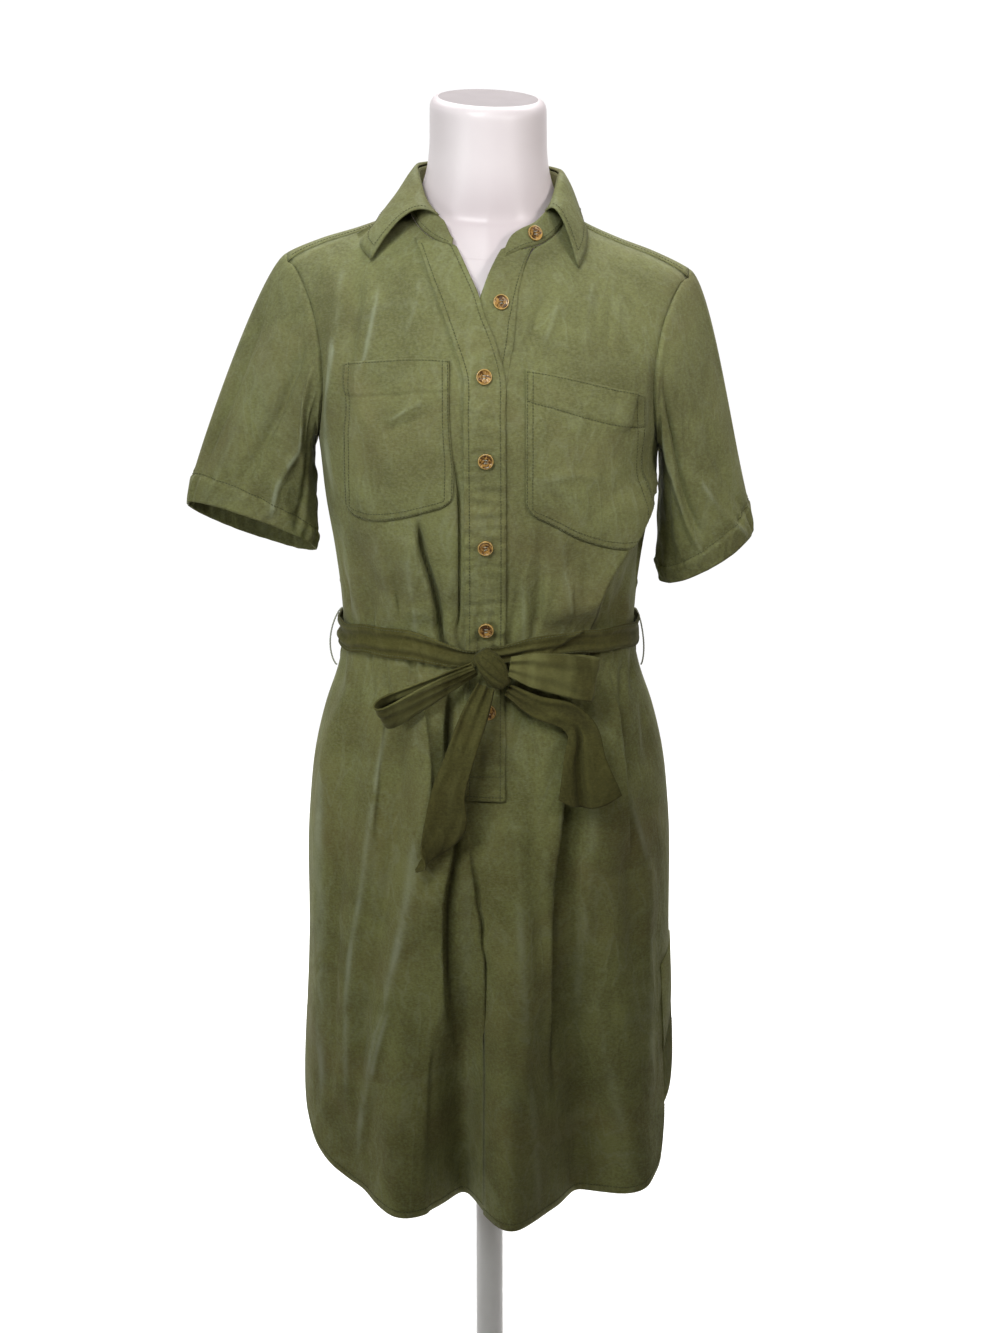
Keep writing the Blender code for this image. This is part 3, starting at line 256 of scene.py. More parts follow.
# half widths of the levels between body and neck, whose heights follow the shoulder's ridge
FORM_SHOULDER_X = (0.172, 0.160, 0.145, 0.130, 0.115, 0.100, 0.087, 0.074)
SHOULDER_SEAT = 0.0036      # the form's ridge below the dress's outer face
# height, half width, depth in front, depth behind
FORM_NECK = ((1.3420, 0.0615, 0.0555, 0.0590), (1.3560, 0.0580, 0.0560, 0.0560),
             (1.3800, 0.0552, 0.0560, 0.0550), (1.4000, 0.0548, 0.0560, 0.0550),
             (1.4160, 0.0545, 0.0560, 0.0550))
# height, half width of the rounded rim and the top
NECK_RIM = ((1.4192, 0.0544), (1.4226, 0.0536), (1.4252, 0.0520), (1.4270, 0.0496), (1.4278, 0.0466),
            (1.4279, 0.0410), (1.4277, 0.0240))
NECK_FOOT, NECK_SOFT = 1.345, 0.016         # where the neck leaves the shoulders, and how softly
TOP_TILT = 0.12             # the neck's cut falls forward by this for each metre
FORM_AROUND, FORM_ROWS = 192, 150


def form_ring(z, half, front_depth=None, back_depth=None):
    """One level of the form: inside the dress by a share of its depth, or an oval at the neck."""
    turn = once_round(FORM_AROUND)
    x, ahead = half * np.sin(turn), np.cos(turn) > 0
    if front_depth is None:
        level = np.full(FORM_AROUND, z)
        depth = np.where(ahead, -front_y(x, level), back_y(x, level))
        depth = depth * along(FORM_SHARE, z) * np.clip(1 - np.abs(x / half) ** 4, 0, 1) ** 0.25
    else:
        depth = np.where(ahead, front_depth, back_depth) * np.abs(np.cos(turn))
    return np.column_stack([x, np.where(ahead, -depth, depth), np.full(FORM_AROUND, z)])


body = [form_ring(z, along(FORM_SIDES, z)) for z in FORM_LEVELS]
body += [form_ring(along(RIDGE, x) - SHOULDER_SEAT, x) for x in FORM_SHOULDER_X]
body += [form_ring(*row) for row in FORM_NECK]
rings = np.concatenate([[body[0] * (share, share, 0) + (0, 0, z) for share, z in FORM_FOOT],
                        finer(body, FORM_ROWS),
                        [form_ring(z, half, half + 0.0015, half + 0.0005) for z, half in NECK_RIM]])
for _ in range(60):      # the neck grows out of the shoulders in a soft curve
    near = np.exp(-((rings[1:-1, :, 2:] - NECK_FOOT) / NECK_SOFT) ** 2)
    rings[1:-1] += near * (rings[:-2] + rings[2:] - 2 * rings[1:-1]) / 4
rings[..., 2] += TOP_TILT * rings[..., 1] * ease((rings[..., 2] - 1.37) / 0.04)

# Moulded plastic, polished and slightly pink. A faint waviness of the mould bends its highlights, and its
# colour is painted greyer below the neck as painted shade.
moulded, tree, shader = new_material("moulded_white_plastic")
place = put(tree, "TexCoord").outputs["Object"]
cloud = put(tree, "TexNoise", {"Vector": place, "Scale": 14.0, "Detail": 3.0})
shell = put(tree, "Mix", {0: cloud, 6: linear("#e8dce0"), 7: linear("#f4eaed")}, data_type="RGBA")
level = put(tree, "SeparateXYZ", {0: place})
# painted shade: the plastic's colour darkens below the neck
below = put(tree, "MapRange", {"Value": level.outputs["Z"], "From Min": 1.376, "From Max": 1.320},
            interpolation_type="SMOOTHSTEP")
shell = put(tree, "Mix", {0: below, 6: shell, 7: linear("#d6c9cd")}, data_type="RGBA")
wave = put(tree, "TexNoise", {"Vector": place, "Scale": 22.0, "Detail": 1.0})
mould = put(tree, "Bump", {"Height": wave, "Strength": 0.10, "Distance": 0.004})
rubbed = put(tree, "MapRange", {"Value": cloud, "To Min": 0.30, "To Max": 0.42})
plug(tree, shader, {"Base Color": shell, "Roughness": rubbed, "Normal": mould})

# The disc that closes the neck is matt, and painted grey as painted shade on the top of the neck.
matt_shaded_cap, tree, shader = new_material("matt_plastic_cap_painted_shade")
place = put(tree, "TexCoord").outputs["Object"]
cloud = put(tree, "TexNoise", {"Vector": place, "Scale": 40.0, "Detail": 4.0})
painted_cap_shade = put(tree, "Mix", {0: cloud, 6: linear("#a1979a"), 7: linear("#b0a7a9")}, data_type="RGBA")
plug(tree, shader, {"Base Color": painted_cap_shade, "Roughness": 0.60})

form = add_tube("form_shell", drop_shoulders(rings), moulded)
form.data.materials.append(matt_shaded_cap)
capped = np.zeros(len(form.data.polygons), np.int32)     # the last two rings of faces, and their fan
capped[(len(rings) - 3) * FORM_AROUND:(len(rings) - 1) * FORM_AROUND] = 1
capped[-FORM_AROUND:] = 1
form.data.polygons.foreach_set("material_index", capped)
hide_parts("dress_form")


# ---------------------------------------------------------------- the front
# One panel from side seam to side seam, cut in a sueded lyocell twill with a shirt-tail hem. It
# is slit down the middle for the plackets, sewn to the back at the sides, and open below them.

WALL = 0.0012
SEAM_GAP, LAP = 0.0003, 0.0006      # between pieces that are sewn together, and between lapped ones
VENT_TOP, LEVEL_ROW, HEM_FRONT = 0.565, 0.610, 0.350
PLACKET_END = 0.7880
VENT_OPEN = 0.24            # share of the front that the right vent's edge has moved forward at the hem
HEM_CORNER, HEM_CORNER_RIGHT = 2.7, 7.0     # how square the shirt tail's corners are
HEM_RISE_RIGHT = 0.010      # how much higher the front's hem ends at +X
YOKE_FRONT = 0.014          # how far the shoulder seam lies in front of the shoulder's ridge
TIP = 0.1888                # distance of the shoulder seam's end from the middle
NECK_JOIN = 0.61            # where the shoulder seam meets the neckline, as a share of the way round it
# rows of the panels' grids: the shirt tail, the skirt, the bodice, and above the underarm
HEM_ROWS, SKIRT_ROWS, BODICE_ROWS, TOP_ROWS = 40, 28, 46, 40
HALF_COLUMNS, SLOT_COLUMNS = 134, 8
CRUMPLE, GATHER = 0.00060, 0.0022   # heights of the cloth's crumple, and of its gathers at the belt
BELT_RISE = 0.009           # the belt's middle above the waist's height, over front and back
CLEAR_OF_FORM = 0.0020      # least room between the form and the cloth that folds in toward it
UNDER_BELT, PAST_BELT = 0.0012, 0.0310      # how far a fold stands out under the belt, and further past it
SEAM_DRAW = 0.0010          # how far a seam draws the cloth in

# height, distance of the armhole seam from the middle
ARMHOLE = ((1.1080, 0.1630), (1.1250, 0.1590), (1.1500, 0.1552), (1.1800, 0.1545), (1.2100, 0.1580),
           (1.2400, 0.1665), (1.2620, 0.1780), (1.2770, 0.1900))
# share round the neckline from the middle of the back, distance from the middle, place along Y
NECKLINE = ((0.00, 0.0000, 0.0630), (0.12, 0.0280, 0.0600), (0.24, 0.0520, 0.0510), (0.36, 0.0680, 0.0340),
            (0.48, 0.0745, 0.0120), (0.60, 0.0745, -0.0120), (0.71, 0.0700, -0.0340),
            (0.82, 0.0610, -0.0530), (0.91, 0.0480, -0.0670), (1.00, 0.0330, -0.0755),
           (1.20, 0.0150, -0.0835))
# height, slot's left edge, slot's right edge, upper placket's free edge, lower placket's free edge
OPENING = ((0.7880, -0.0197, 0.0152, 0.0160, -0.0172), (1.1500, -0.0197, 0.0152, 0.0160, -0.0172),
           (1.1860, -0.0202, 0.0170, 0.0155, -0.0168), (1.2185, -0.0310, 0.0230, 0.0060, -0.0135),
           (1.2385, -0.0385, 0.0250, -0.0025, -0.0105), (1.2565, -0.0455, 0.0265, -0.0085, -0.0065),
           (1.2745, -0.0540, 0.0305, -0.0180, 0.0010), (1.2900, -0.0610, 0.0370, -0.0270, 0.0100),
           (1.3030, -0.0680, 0.0450, -0.0345, 0.0200), (1.3200, -0.0760, 0.0550, -0.0440, 0.0330))
# Folds of the skirt: place across at the top, at the hem, height of the top, depth, half width
SKIRT_FRONT = ((-0.120, -0.140, 0.800, -0.010, 0.026), (-0.062, -0.084, 0.860, 0.020, 0.028),
               (-0.022, -0.032, 0.820, -0.058, 0.020), (0.014, 0.022, 0.820, 0.032, 0.024),
               (0.066, 0.100, 0.870, -0.034, 0.028), (0.105, 0.150, 0.860, 0.012, 0.024))
# Folds of bodice and hips: place across at the top, at the bottom, heights, depth, half width
BODY_FRONT = ((0.142, 0.088, 1.050, 0.925, 0.007, 0.013), (0.164, 0.114, 1.060, 0.925, -0.006, 0.014),
              (-0.076, -0.044, 1.055, 0.925, -0.004, 0.010), (-0.100, -0.066, 1.060, 0.925, 0.005, 0.014),
              (-0.040, -0.042, 0.895, 0.740, -0.006, 0.010), (-0.066, -0.072, 0.895, 0.700, 0.006, 0.016),
              (0.084, 0.070, 0.895, 0.640, -0.007, 0.012), (0.112, 0.110, 0.895, 0.660, 0.006, 0.018))
# Creases that run down the front: height of the ridge, or depth of the trough with a minus, half
# width on its -X side, on its +X side, how much it is rubbed pale, or with a minus how dark painted
# shade makes its trough, points (x, z)
CREASES_FRONT = (
    # from the shoulders past the armholes
    (0.004, 0.006, 0.01, 2.2, (-0.129, 1.294), (-0.136, 1.255), (-0.142, 1.202), (-0.151, 1.146),
     (-0.1485, 1.098), (-0.144, 1.05)),
    (-0.0036, 0.008, 0.005, 0.0, (-0.113, 1.285), (-0.121, 1.235), (-0.128, 1.18), (-0.131, 1.12)),
    (0.0022, 0.005, 0.006, 1.5, (-0.1, 1.262), (-0.108, 1.215), (-0.12, 1.17)),
    (0.0016, 0.004, 0.006, 0.7, (-0.062, 1.272), (-0.066, 1.245), (-0.078, 1.215)),
    (-0.002, 0.004, 0.007, 0.0, (-0.078, 1.28), (-0.084, 1.25), (-0.096, 1.216)),
    (0.0012, 0.003, 0.003, 1.4, (-0.118, 1.092), (-0.117, 1.07), (-0.1155, 1.05)),
    (-0.0036, 0.004, 0.01, 0.0, (0.158, 1.2), (0.157, 1.15), (0.153, 1.1)),
    (0.0026, 0.006, 0.006, 0.6, (0.146, 1.215), (0.147, 1.16), (0.143, 1.11)),
    (-0.0024, 0.004, 0.008, 0.0, (0.054, 1.262), (0.044, 1.235), (0.036, 1.21)),
    (0.0022, 0.008, 0.006, 0.5, (0.066, 1.262), (0.058, 1.235), (0.05, 1.212)),
    (0.0018, 0.005, 0.005, 0.6, (0.096, 1.275), (0.092, 1.24), (0.094, 1.21)),
    (-0.0018, 0.005, 0.005, 0.0, (0.118, 1.268), (0.112, 1.235), (0.112, 1.205)),
    # gathered above the belt, at the wearer's right
    # painted shade darkens this fold's trough
    (-0.0085, 0.0034, 0.0046, -1.0, (-0.067, 1.058), (-0.0657, 1.045), (-0.0643, 1.0216), (-0.0554, 0.9909),
     (-0.046, 0.9417), (-0.038, 0.895)),
    (0.0034, 0.009, 0.0036, 0.4, (-0.073, 1.05), (-0.071, 1.02), (-0.062, 0.985), (-0.053, 0.935),
     (-0.048, 0.9)),
    (-0.005, 0.007, 0.003, 0.0, (-0.0359, 1.15), (-0.035, 1.11), (-0.029, 1.0811), (-0.028, 1.0469),
     (-0.0284, 0.9891), (-0.0294, 0.92), (-0.0294, 0.88)),
    (0.003, 0.006, 0.007, 0.9, (-0.106, 1.036), (-0.101, 1.008), (-0.091, 0.957), (-0.083, 0.905)),
    (0.0026, 0.005, 0.006, 0.8, (-0.082, 1.042), (-0.0775, 1.011), (-0.07, 0.953), (-0.064, 0.9)),
    (-0.003, 0.005, 0.007, 0.0, (-0.126, 1.03), (-0.118, 0.985), (-0.106, 0.9)),
    (-0.0026, 0.005, 0.004, 0.0, (-0.092, 1.02), (-0.084, 0.97), (-0.074, 0.9)),
    (0.0024, 0.006, 0.006, 0.5, (-0.138, 1.01), (-0.13, 0.97), (-0.118, 0.905)),
    (-0.0022, 0.004, 0.005, 0.0, (-0.147, 1.04), (-0.14, 0.99), (-0.13, 0.915)),
    # the wide fold that runs in from the side at the wearer's left, and small ones beside it
    (0.007, 0.018, 0.005, 0.5, (0.15, 1.075), (0.135, 1.035), (0.122, 1.006), (0.105, 0.974),
     (0.096, 0.944), (0.088, 0.895)),
    # painted shade darkens this fold's trough
    (-0.0085, 0.0034, 0.01, -1.0, (0.166, 1.1), (0.1521, 1.0631), (0.1318, 1.0229), (0.1105, 0.9848),
     (0.099, 0.944), (0.092, 0.89)),
    (0.0024, 0.005, 0.006, 1.0, (0.066, 1.058), (0.068, 1.01), (0.069, 0.973), (0.066, 0.905)),
    (-0.0026, 0.006, 0.004, 0.0, (0.048, 1.05), (0.05, 1.0), (0.044, 0.9)),
    (-0.0022, 0.004, 0.005, 0.0, (0.088, 1.02), (0.084, 0.975), (0.078, 0.905)),
    (0.0018, 0.005, 0.005, 0.4, (0.03, 1.01), (0.033, 0.965), (0.032, 0.905)),
    (0.003, 0.008, 0.007, 0.4, (0.146, 0.99), (0.138, 0.95), (0.13, 0.905)),
    (-0.0026, 0.006, 0.006, 0.0, (0.132, 0.985), (0.124, 0.95), (0.116, 0.9)),
    # the skirt, from the wearer's right to the wearer's left
    (0.004, 0.01, 0.01, 1.0, (-0.122, 0.915), (-0.136, 0.885), (-0.1539, 0.838), (-0.1622, 0.774),
     (-0.1649, 0.7165), (-0.1657, 0.614), (-0.169, 0.5), (-0.172, 0.4)),
    (-0.0044, 0.012, 0.006, 0.0, (-0.1, 0.9), (-0.122, 0.84), (-0.138, 0.765), (-0.149, 0.68),
     (-0.156, 0.56), (-0.16, 0.44)),
    (0.0042, 0.012, 0.007, 0.9, (-0.086, 0.905), (-0.096, 0.855), (-0.1012, 0.8271), (-0.111, 0.7701),
     (-0.1213, 0.6911), (-0.1363, 0.6069), (-0.1414, 0.5457), (-0.1445, 0.4759), (-0.148, 0.38)),
    (-0.004, 0.008, 0.006, 0.0, (-0.076, 0.9), (-0.083, 0.84), (-0.086, 0.78), (-0.096, 0.7),
     (-0.112, 0.61), (-0.126, 0.52), (-0.134, 0.42)),
    (0.0052, 0.012, 0.009, 1.0, (-0.066, 0.9), (-0.0697, 0.8393), (-0.064, 0.8035), (-0.0661, 0.7633),
     (-0.0737, 0.7165), (-0.0815, 0.6609), (-0.0939, 0.5991), (-0.1097, 0.5346), (-0.1244, 0.4694),
     (-0.1308, 0.4261), (-0.134, 0.35)),
    (0.002, 0.005, 0.005, 1.0, (-0.094, 0.57), (-0.106, 0.525), (-0.1174, 0.48)),
    # painted shade darkens this fold's trough
    (-0.005, 0.016, 0.0036, -0.9, (-0.037, 0.905), (-0.0404, 0.8165), (-0.034, 0.7347), (-0.0409, 0.6925),
     (-0.0425, 0.5988), (-0.036, 0.52)),
    (-0.009, 0.018, 0.012, 0.0, (-0.06, 0.68), (-0.064, 0.6), (-0.0658, 0.5393), (-0.0635, 0.4556),
     (-0.0602, 0.3838), (-0.06, 0.25)),
    (0.005, 0.012, 0.012, 0.3, (-0.022, 0.76), (-0.026, 0.68), (-0.028, 0.58), (-0.026, 0.46),
     (-0.024, 0.3)),
    (-0.003, 0.014, 0.006, 0.0, (-0.02, 0.77), (-0.0177, 0.7204), (-0.0111, 0.6845), (-0.0039, 0.6228),
     (-0.0021, 0.5444), (-0.0023, 0.3815), (-0.002, 0.2)),
    (0.0036, 0.008, 0.01, 0.5, (0.018, 0.8), (0.026, 0.73), (0.028, 0.64), (0.034, 0.54), (0.044, 0.44),
     (0.048, 0.3)),
    (-0.003, 0.008, 0.006, 0.0, (0.044, 0.8), (0.04, 0.72), (0.044, 0.62), (0.052, 0.5)),
    # painted shade darkens this fold's trough
    (-0.004, 0.015, 0.006, -0.8, (0.082, 0.905), (0.0741, 0.8051), (0.07, 0.7533), (0.063, 0.6962),
     (0.0615, 0.618), (0.0617, 0.54), (0.066, 0.44)),
    (0.0036, 0.01, 0.01, 0.4, (0.1, 0.9), (0.1, 0.8), (0.096, 0.7), (0.092, 0.6), (0.094, 0.5)),
    (-0.0044, 0.012, 0.014, 0.0, (0.074, 0.64), (0.0816, 0.5689), (0.0868, 0.539), (0.1023, 0.4807),
     (0.1187, 0.4267), (0.128, 0.33)),
    (0.003, 0.012, 0.01, 0.3, (0.1, 0.6), (0.112, 0.53), (0.128, 0.45), (0.14, 0.36)),
    (-0.0036, 0.007, 0.009, 0.0, (0.112, 0.9), (0.12, 0.82), (0.13, 0.74), (0.138, 0.66), (0.14, 0.56)),
    (0.0034, 0.01, 0.006, 0.8, (0.118, 0.87), (0.1285, 0.7906), (0.1336, 0.7737), (0.1538, 0.6984),
     (0.1574, 0.6001), (0.1575, 0.5051), (0.158, 0.42)),
    (-0.0026, 0.006, 0.006, 0.0, (0.14, 0.9), (0.15, 0.84), (0.16, 0.78)),
)
# Folds that lap over the cloth beside them, and hide it: height, width behind the edge (with a
# minus where the edge faces -X), points (x, z)
LAPS_FRONT = (
    (0.0066, 0.014, (-0.068, 1.058), (-0.0643, 1.0216), (-0.0554, 0.9909), (-0.046, 0.9417),
     (-0.038, 0.895)),
    (0.005, 0.009, (-0.0355, 1.15), (-0.032, 1.11), (-0.029, 1.0811), (-0.028, 1.0469), (-0.0284, 0.9891),
     (-0.0294, 0.88)),
    (0.012, 0.028, (0.17, 1.105), (0.1521, 1.0631), (0.1318, 1.0229), (0.1105, 0.9848), (0.0957, 0.9462),
     (0.088, 0.895)),
    (0.0034, 0.008, (-0.112, 1.0), (-0.104, 0.96), (-0.096, 0.89)),
    (0.003, 0.007, (-0.09, 0.99), (-0.082, 0.95), (-0.076, 0.89)),
    (0.0026, -0.007, (0.052, 1.01), (0.05, 0.96), (0.046, 0.89)),
    (0.003, 0.008, (0.074, 1.0), (0.072, 0.95), (0.066, 0.89)),
    (0.003, -0.008, (0.138, 0.98), (0.13, 0.94), (0.122, 0.89)),
    (0.0125, 0.024, (-0.037, 0.925), (-0.0404, 0.8165), (-0.034, 0.7347), (-0.0409, 0.6925),
     (-0.0425, 0.5988), (-0.036, 0.5)),
    (0.011, 0.022, (0.082, 0.925), (0.0741, 0.8051), (0.07, 0.7533), (0.063, 0.6962), (0.0615, 0.618),
     (0.0617, 0.5)),
    (0.01, 0.026, (-0.02, 0.78), (-0.0177, 0.7204), (-0.0111, 0.6845), (-0.0039, 0.6228), (-0.0021, 0.5444),
     (-0.0023, 0.3815), (-0.002, 0.2)),
    (0.0034, 0.012, (-0.092, 0.905), (-0.098, 0.85), (-0.104, 0.79), (-0.112, 0.72)),
    (0.0052, 0.012, (-0.062, 0.905), (-0.06, 0.85), (-0.058, 0.79), (-0.066, 0.72)),
    (0.003, 0.009, (-0.124, 0.905), (-0.14, 0.85), (-0.15, 0.79)),
    (0.0028, -0.008, (0.04, 0.905), (0.044, 0.85), (0.046, 0.79)),
    (0.0046, 0.012, (0.112, 0.905), (0.122, 0.85), (0.13, 0.78), (0.138, 0.7)),
    (0.003, 0.012, (-0.056, 0.56), (-0.06, 0.48), (-0.062, 0.4), (-0.06, 0.3)),
)
# Creases that run across, with the same columns: half widths below and above, points (z, x)
CREASES_ACROSS = (
    (0.0014, 0.004, 0.004, 0.8, (1.1401, -0.0896), (1.152, -0.074), (1.1605, -0.0582)),
    (-0.0016, 0.005, 0.005, 0.0, (1.128, -0.1), (1.139, -0.076), (1.149, -0.054)),
    (0.0012, 0.005, 0.005, 0.5, (1.092, 0.05), (1.098, 0.078), (1.094, 0.106)),
    (-0.0016, 0.006, 0.005, 0.0, (1.24, 0.06), (1.226, 0.095), (1.196, 0.128)),
    (0.0014, 0.005, 0.005, 0.6, (1.248, -0.06), (1.24, -0.095), (1.222, -0.128)),
    (-0.0012, 0.004, 0.005, 0.0, (0.7, 0.086), (0.696, 0.112), (0.706, 0.138)),
)


def plan_normal(x, z, front):
    """Outward direction in plan, from the superellipse's slope."""
    half, power = along(OUTLINE, z, 1), along(OUTLINE, z, 4)
    depth = along(OUTLINE, z, 2 if front else 3)
    side = np.sign(x) * np.clip(np.abs(x) / half, 0, 1) ** (power - 1) / half
    ahead = across_share(x, z) ** (power - 1) / depth * (-1 if front else 1)
    length = np.hypot(side, ahead)
    return side / length, ahead / length


def skirt_folds(x, z, table):
    """Sum of bells across the cloth, each deepening on its way down to the hem."""
    down = [np.clip((top - z) / (top - HEM_FRONT), 0, 1.1) for _, _, top, _, _ in table]
    return sum(depth * d ** 1.3 * np.exp(-((x - top_x - (hem_x - top_x) * d) / width) ** 2)
               for (top_x, hem_x, _, depth, width), d in zip(table, down))


def fading(gone, share=0.22):
    """1 along a line, which eases to 0 over a share of its length at each end."""
    return ease(gone / share) * ease((1 - gone) / share)


def body_folds(x, z, table):
    """Sum of bells across the cloth, each fading at its top and its bottom."""
    down = [(top - z) / (top - low) for _, _, top, low, _, _ in table]
    return sum(depth * fading(d, 0.25) * np.exp(-((x - top_x - (low_x - top_x) * d) / width) ** 2)
               for (top_x, low_x, _, _, depth, width), d in zip(table, down))


def creases(x, z, table):
    """Relief of creases, and how rubbed they are: wide and narrow bells across each line, which fade."""
    relief, rub_and_painted_shade = np.zeros(np.broadcast(x, z).shape), np.zeros(np.broadcast(x, z).shape)
    for depth, before, after, pale, *line in table:
        line = np.array(line)[::-1, ::-1] if line[0][1] > line[-1][1] else np.array(line)[:, ::-1]
        fade = fading((z - line[0, 0]) / (line[-1, 0] - line[0, 0]))
        off = x - along(line, z)
        relief += depth * fade * np.exp(-(off / np.where(off < 0, before, after)) ** 2)
        rub_and_painted_shade += pale * fade * np.exp(-(off / (0.4 * min(before, after))) ** 2)
    return relief, rub_and_painted_shade


LAP_SLIDE = 0.80        # how far a lapping fold slides, as a share of its height
LAP_EDGE = 0.0024       # half width of its steep side


def laps(x, z, table):
    """Relief of folds that lap over, and how far they slide toward their edges: bells, steep there."""
    relief, slide = np.zeros(np.broadcast(x, z).shape), np.zeros(np.broadcast(x, z).shape)
    for height, wide, *line in table:
        line = np.array(line)[::-1, ::-1]
        fade = fading((z - line[0, 0]) / (line[-1, 0] - line[0, 0]))
        off = (x - along(line, z)) * np.sign(wide) + LAP_SLIDE * height * fade
        bell = height * fade * np.exp(-(off / np.where(off < 0, abs(wide), LAP_EDGE)) ** 2)
        relief += bell
        slide += LAP_SLIDE * np.sign(wide) * bell
    return relief, slide


def wrinkles(x, z, seed, shortest, longest, lean, count=22):
    """Sum of small waves with seeded lengths, leans and phases, near level and of mean height 0."""
    rng = np.random.default_rng(seed)
    length = shortest * (longest / shortest) ** rng.random(count)
    turn, phase = rng.normal(0, lean, count), rng.random(count) * 2 * np.pi
    waves = sum(s * np.cos(2 * np.pi / s * (x * np.cos(a) + z * np.sin(a)) + p)
                for s, a, p in zip(length, turn, phase))
    return waves / np.sqrt((length ** 2).sum() / 2)


def side_edge(z):
    """Distance of a panel's side from the middle: the armhole above the underarm, the side seam below."""
    return np.where(z > UNDERARM, along(ARMHOLE, z), along(OUTLINE, z, 1))


def panel_relief(x, z, front):
    """All the creases of a panel, which fade at its side seams, its armholes and its shoulders."""
    relief, rub_and_painted_shade = creases(x, z, CREASES_FRONT if front else CREASES_BACK)
    if front:
        more, pale = creases(z, x, CREASES_ACROSS)
        relief, rub_and_painted_shade = relief + more, rub_and_painted_shade + pale
    seed = 3 if front else 11
    uneven = np.clip(wrinkles(x, z, seed + 1, 0.10, 0.30, 1.2, 8), -1, 1) * 0.5 + 0.6
    near_waist = np.exp(-((z - WAIST) / 0.060) ** 2)
    relief += CRUMPLE * uneven * wrinkles(x, z, seed, 0.018, 0.060, 0.6)
    relief += GATHER * near_waist * wrinkles(x, z, seed + 2, 0.010, 0.028, 0.12)
    fade = ease((side_edge(z) - np.abs(x)) / 0.012) * ease((along(RIDGE, np.abs(x)) - 0.004 - z) / 0.03)
    return relief * fade, rub_and_painted_shade * fade


def form_room(x, z, front):
    """Distance along Y from the front or back to the form inside it, and plenty below the form's end."""
    depth = np.abs(front_y(x, z) if front else back_y(x, z))
    half = along(FORM_SIDES, z)
    inside = depth * along(FORM_SHARE, z) * np.clip(1 - np.abs(x / half) ** 4, 0, 1) ** 0.25
    return depth - inside + 0.10 * ease((FORM_SHARE[0][0] - z) / 0.05)


def panel_point(x, z, front, lift=0.0):
    """A point on the front or back, with its folds and creases, moved out by lift; and how rubbed it is.

    It is the body's point, moved along its normal in plan. No fold goes in further than the form
    allows, less a wall and 2 mm, and none stands out under the belt, which holds it flat.
    """
    x, z = np.broadcast_arrays(np.asarray(x, float), np.asarray(z, float))
    y = front_y(x, z) if front else back_y(x, z)
    relief, rub_and_painted_shade = panel_relief(x, z, front)
    out = (skirt_folds(x, z, SKIRT_FRONT if front else SKIRT_BACK)
           + body_folds(x, z, BODY_FRONT if front else BODY_BACK) + relief)
    out = np.maximum(out, np.minimum(WALL + CLEAR_OF_FORM - form_room(x, z, front), 0)) + lift
    edge = side_edge(z) - np.abs(x)
    lapped, slide = laps(x, z, LAPS_FRONT if front else LAPS_BACK)
    lapped, slide = lapped * ease(edge / 0.014), np.clip(slide, -0.7 * np.abs(edge), 0.7 * np.abs(edge))
    from_belt = np.abs(z - WAIST - BELT_RISE)
    held = UNDER_BELT + PAST_BELT * ease((from_belt - 0.024) / 0.045)
    out, x = np.minimum(out + lapped, held + lift), x + slide * ease((from_belt - 0.020) / 0.02)
    # the armhole's seam draws the edge in, under anything that lies on the panel
    out = out - SEAM_DRAW * np.exp(-(edge / 0.0025) ** 2) * ease((z - UNDERARM) / 0.01) * (lift == 0)
    side, ahead = plan_normal(x, z, front)
    # the bodice's folds stand out forward, and not sideways
    wide = out - np.maximum(out - lift - 0.003, 0) * ease((z - WAIST) / 0.02)
    steep = np.clip((z - UNDERARM) / 0.2, 0, 1) * 0.7
    up = lift * steep / np.sqrt(1 + steep ** 2)
    return np.stack([x + side * wide, y + ahead * out, z + up], axis=-1), rub_and_painted_shade


def top_z(x, y):
    """The height of the shoulders over a place in plan: front_y and back_y turned round, by steps."""
    x, y = np.broadcast_arrays(np.asarray(x, float), np.asarray(y, float))
    power = np.where(y < 0, RISE_FRONT, RISE_BACK)
    height = along(RIDGE, np.abs(x)) - UNDERARM
    z = np.full(x.shape, 1.28)      # a first guess, which each step brings nearer
    for _ in range(12):
        depth = np.where(y < 0, along(OUTLINE, z, 2), along(OUTLINE, z, 3)) * across_share(x, z)
        gone = np.clip(np.abs(y) / np.maximum(depth, 1e-4), 0, 1)
        z = UNDERARM + height * (1 - gone ** power) ** (1 / power)
    return z


def gone_along(points):
    """Distance along a line of points from its first to each of them."""
    return np.concatenate([[0], np.cumsum(np.linalg.norm(np.diff(points, axis=0), axis=1))])


def spaced(points, count):
    """Count points at even distances along a dense line of points."""
    points = np.asarray(points, float)
    gone = gone_along(points)
    at = np.linspace(0, gone[-1], count)
    return np.stack([np.interp(at, gone, points[:, k]) for k in range(points.shape[1])], axis=1)


def between(grid, rows, columns):
    """Values of a grid at rows and columns that may lie between its own, shared out between four."""
    i = np.clip(rows.astype(int), 0, grid.shape[0] - 2)
    k = np.clip(columns.astype(int), 0, grid.shape[1] - 2)
    up, on = rows - i, columns - k
    if grid.ndim == 3:
        up, on = up[..., None], on[..., None]
    return ((1 - up) * ((1 - on) * grid[i, k] + on * grid[i, k + 1])
            + up * ((1 - on) * grid[i + 1, k] + on * grid[i + 1, k + 1]))


